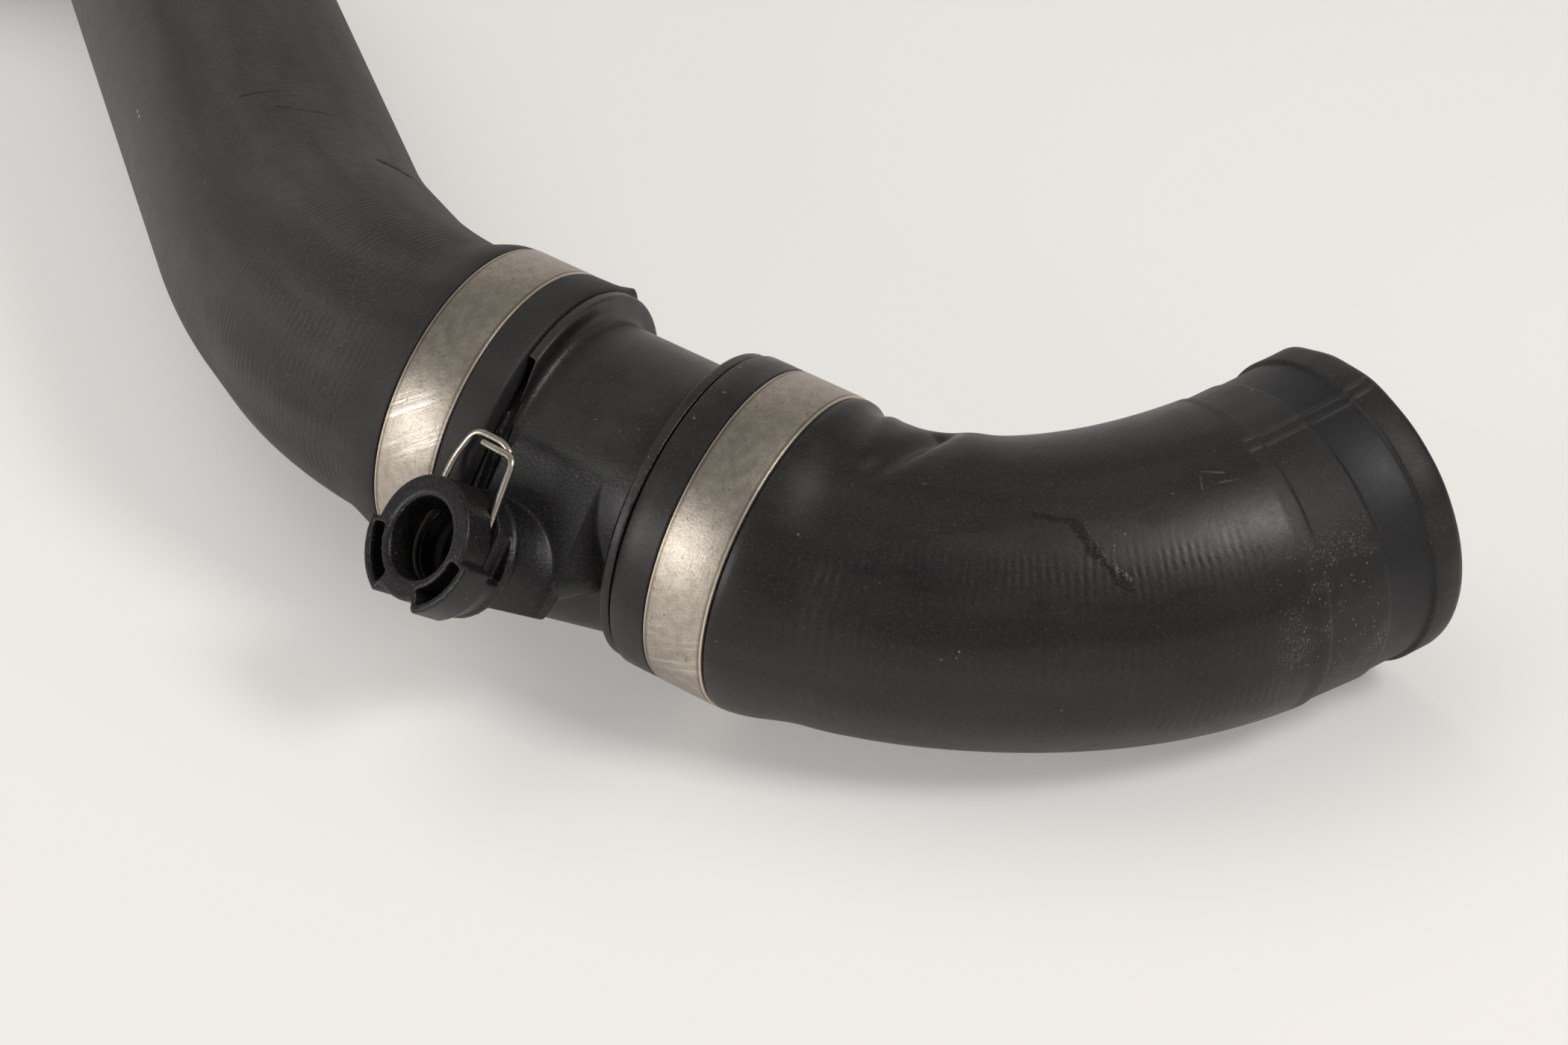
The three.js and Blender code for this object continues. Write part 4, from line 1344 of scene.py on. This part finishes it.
def finish_nylon():
    finish = Finish("connector_black", (0.008, 0.008, 0.0085), roughness=0.45)
    grain = finish.noise(2200, detail=3, roughness=0.7)
    patch = finish.noise(210, detail=4, roughness=0.6)
    cloud = finish.noise(60, detail=3)
    upward = finish.attribute("upward")
    dust = (upward.smooth(-0.3, 0.9) * (cloud * 0.9 + patch * 0.9 - 0.3)).clamp()
    colour = finish.mix(dust, NYLON_CLEAN, NYLON_DUST)
    colour = finish.mix(grain.smooth(0.48, 0.66) * 0.5, colour, NYLON_GRAIN)
    dots = finish.noise(1100, detail=1).smooth(0.75, 0.79)
    colour = finish.mix(dots * 0.4, colour, NYLON_DOTS)
    finish.set("Base Color", colour)
    finish.set("Roughness", grain * 0.2 + patch * 0.25 + 0.16)
    finish.set("Specular IOR Level", 0.42)
    finish.set("Normal", finish.bump(grain + patch, NYLON_BUMP))
    return finish


NYLON_SMOOTH = 80
FRONT_UPWARD = -0.2
settle(connector, finish_nylon(), "hose_set", "connector", NYLON_SMOOTH)
to_connector = PLACE.inverted()
lightened = []
for point in connector.data.vertices:
    local = to_connector @ point.co
    # The flat front gets no dust colour and stays as dark as the plain nylon.
    on_front = local.z > PAD_Z - FRONT_DEPTH and local.y < 0
    lightened.append(min(point.normal.z, FRONT_UPWARD) if on_front else point.normal.z)
upward = connector.data.attributes.new("upward", "FLOAT", "POINT")
upward.data.foreach_set("value", lightened)
print("points that face up:", sum(value > 0 for value in lightened), "of", len(lightened))

# %% [markdown]
# ## The wire clip
#
# A piece of round spring wire, bent to a loop whose two ends pass each other at the top.
# It is drawn as a chain of points with rounded corners, and given its thickness by the
# bevel of a curve. The radius of the last points falls off, so the cut ends are round.

# %% Path of the wire in the socket's frame
WIRE_R = 0.53
WIRE_DEPTH = SLOT_FRONT + 0.8
LEG_U = 6.4
HOLD_U = 6.75
CLIP_LOW = 7.0
LOOP_STEPS = 32


def rounded(points, radii, steps=8):
    """Replaces each inner corner of a chain by an arc-like run of points."""
    chain = [Vector(points[0])]
    for before, corner, after, radius in zip(points, points[1:], points[2:], radii):
        before, corner, after = Vector(before), Vector(corner), Vector(after)
        start = corner + (before - corner).normalized() * radius
        end = corner + (after - corner).normalized() * radius
        for i in range(steps + 1):
            t = i / steps
            chain.append(start * (1 - t) ** 2 + corner * (2 * t * (1 - t)) + end * t ** 2)
    chain.append(Vector(points[-1]))
    return chain


def clip_points():
    """The wire from its left end, down, round the bore, and up to its right end."""
    w = -WIRE_DEPTH
    corners = [(3.0, 16.5, w - 0.95), (1.4, 17.4, w - 0.45), (-4.5, 17.5, w)]
    corners += [(-LEG_U, 12, w), (-LEG_U, 3.5, w)]
    left = rounded(corners, [1.0, 2.2, 2.0])
    left += [Vector((-HOLD_U, 0, w))]
    bottom = []
    for i in range(1, LOOP_STEPS):
        turn = pi + pi * i / LOOP_STEPS
        bottom.append(Vector((HOLD_U * cos(turn), CLIP_LOW * sin(turn), w)))
    right = [Vector((HOLD_U, 0, w))]
    right += rounded([(5.9, 9, w), (5.3, 16.15, w), (-1.9, 16.15, w)], [1.7])
    return left + bottom + right


wire_points = clip_points()
print("wire drawn by", len(wire_points), "points")

# %% Round ends
TIP = 0.45
TIP_STEPS = ((1.0, 0.02), (0.93, 0.4), (0.7, 0.72))


def with_round_ends(points):
    """Adds close points at both ends, with the share of the radius that each keeps."""
    def end(point, inward):
        out = (point - inward).normalized() * TIP
        return [(point + out * way, share) for way, share in TIP_STEPS] + [(point, 1.0)]

    first = end(points[0], points[1])
    last = end(points[-1], points[-2])
    return first + [(point, 1.0) for point in points[1:-1]] + last[::-1]


wire_chain = with_round_ends(wire_points)
print("with its ends:", len(wire_chain), "points")

# %% Wire
clip = draw_line("clip_wire", [tuple(point) for point, _ in wire_chain])
bpy.ops.object.mode_set(mode="OBJECT")
bpy.ops.object.convert(target="CURVE")
clip = bpy.context.object
for point, (_, share) in zip(clip.data.splines[0].points, wire_chain):
    point.radius = share
clip.data.bevel_depth = WIRE_R
clip.data.bevel_resolution = 8
clip.data.use_fill_caps = True
bpy.ops.object.convert(target="MESH")
clip = bpy.context.object
raised = clip.data.attributes.new("raised", "FLOAT", "POINT")
raised.data.foreach_set("value", [point.co.y for point in clip.data.vertices])
carried(clip, SOCKET)
print("wire:", len(clip.data.vertices), "points")

# %% [markdown]
# ## Spring wire
#
# Drawn wire is bright, with brown grime in patches, and its part inside the bore is dull
# and darkened by painted shade. Two materials would meet in a hard line, so the height of
# each point above the bore's middle is stored as an attribute, and the low part gets the
# painted shade by it.

# %% Wire finish
WIRE_BUMP = 0.00002
WIRE_SMOOTH = 60
WIRE_BRIGHT = (0.66, 0.6, 0.51)
WIRE_GRIME = (0.3, 0.235, 0.15)
WIRE_BORE_SHADE = (0.07, 0.058, 0.045)


def finish_wire():
    finish = Finish("clip_wire_steel", (0.62, 0.56, 0.46), roughness=0.24, metallic=1.0)
    grime = finish.noise(700, detail=3, roughness=0.7)
    patch = finish.noise(160, detail=2)
    colour = finish.mix(grime.smooth(0.5, 0.7) * 0.6, WIRE_BRIGHT, WIRE_GRIME)
    # Painted shade: the part of the wire inside the bore is darkened.
    inside = 1 - finish.attribute("raised").smooth(2.0, 6.0)
    colour = finish.mix(inside * 0.85, colour, WIRE_BORE_SHADE)
    finish.set("Base Color", colour)
    finish.set("Roughness", grime * 0.2 + patch * 0.15 + 0.12 + inside * 0.3)
    finish.set("Normal", finish.bump(grime, WIRE_BUMP))
    return finish


settle(clip, finish_wire(), "clip", "sensor_clip", WIRE_SMOOTH)
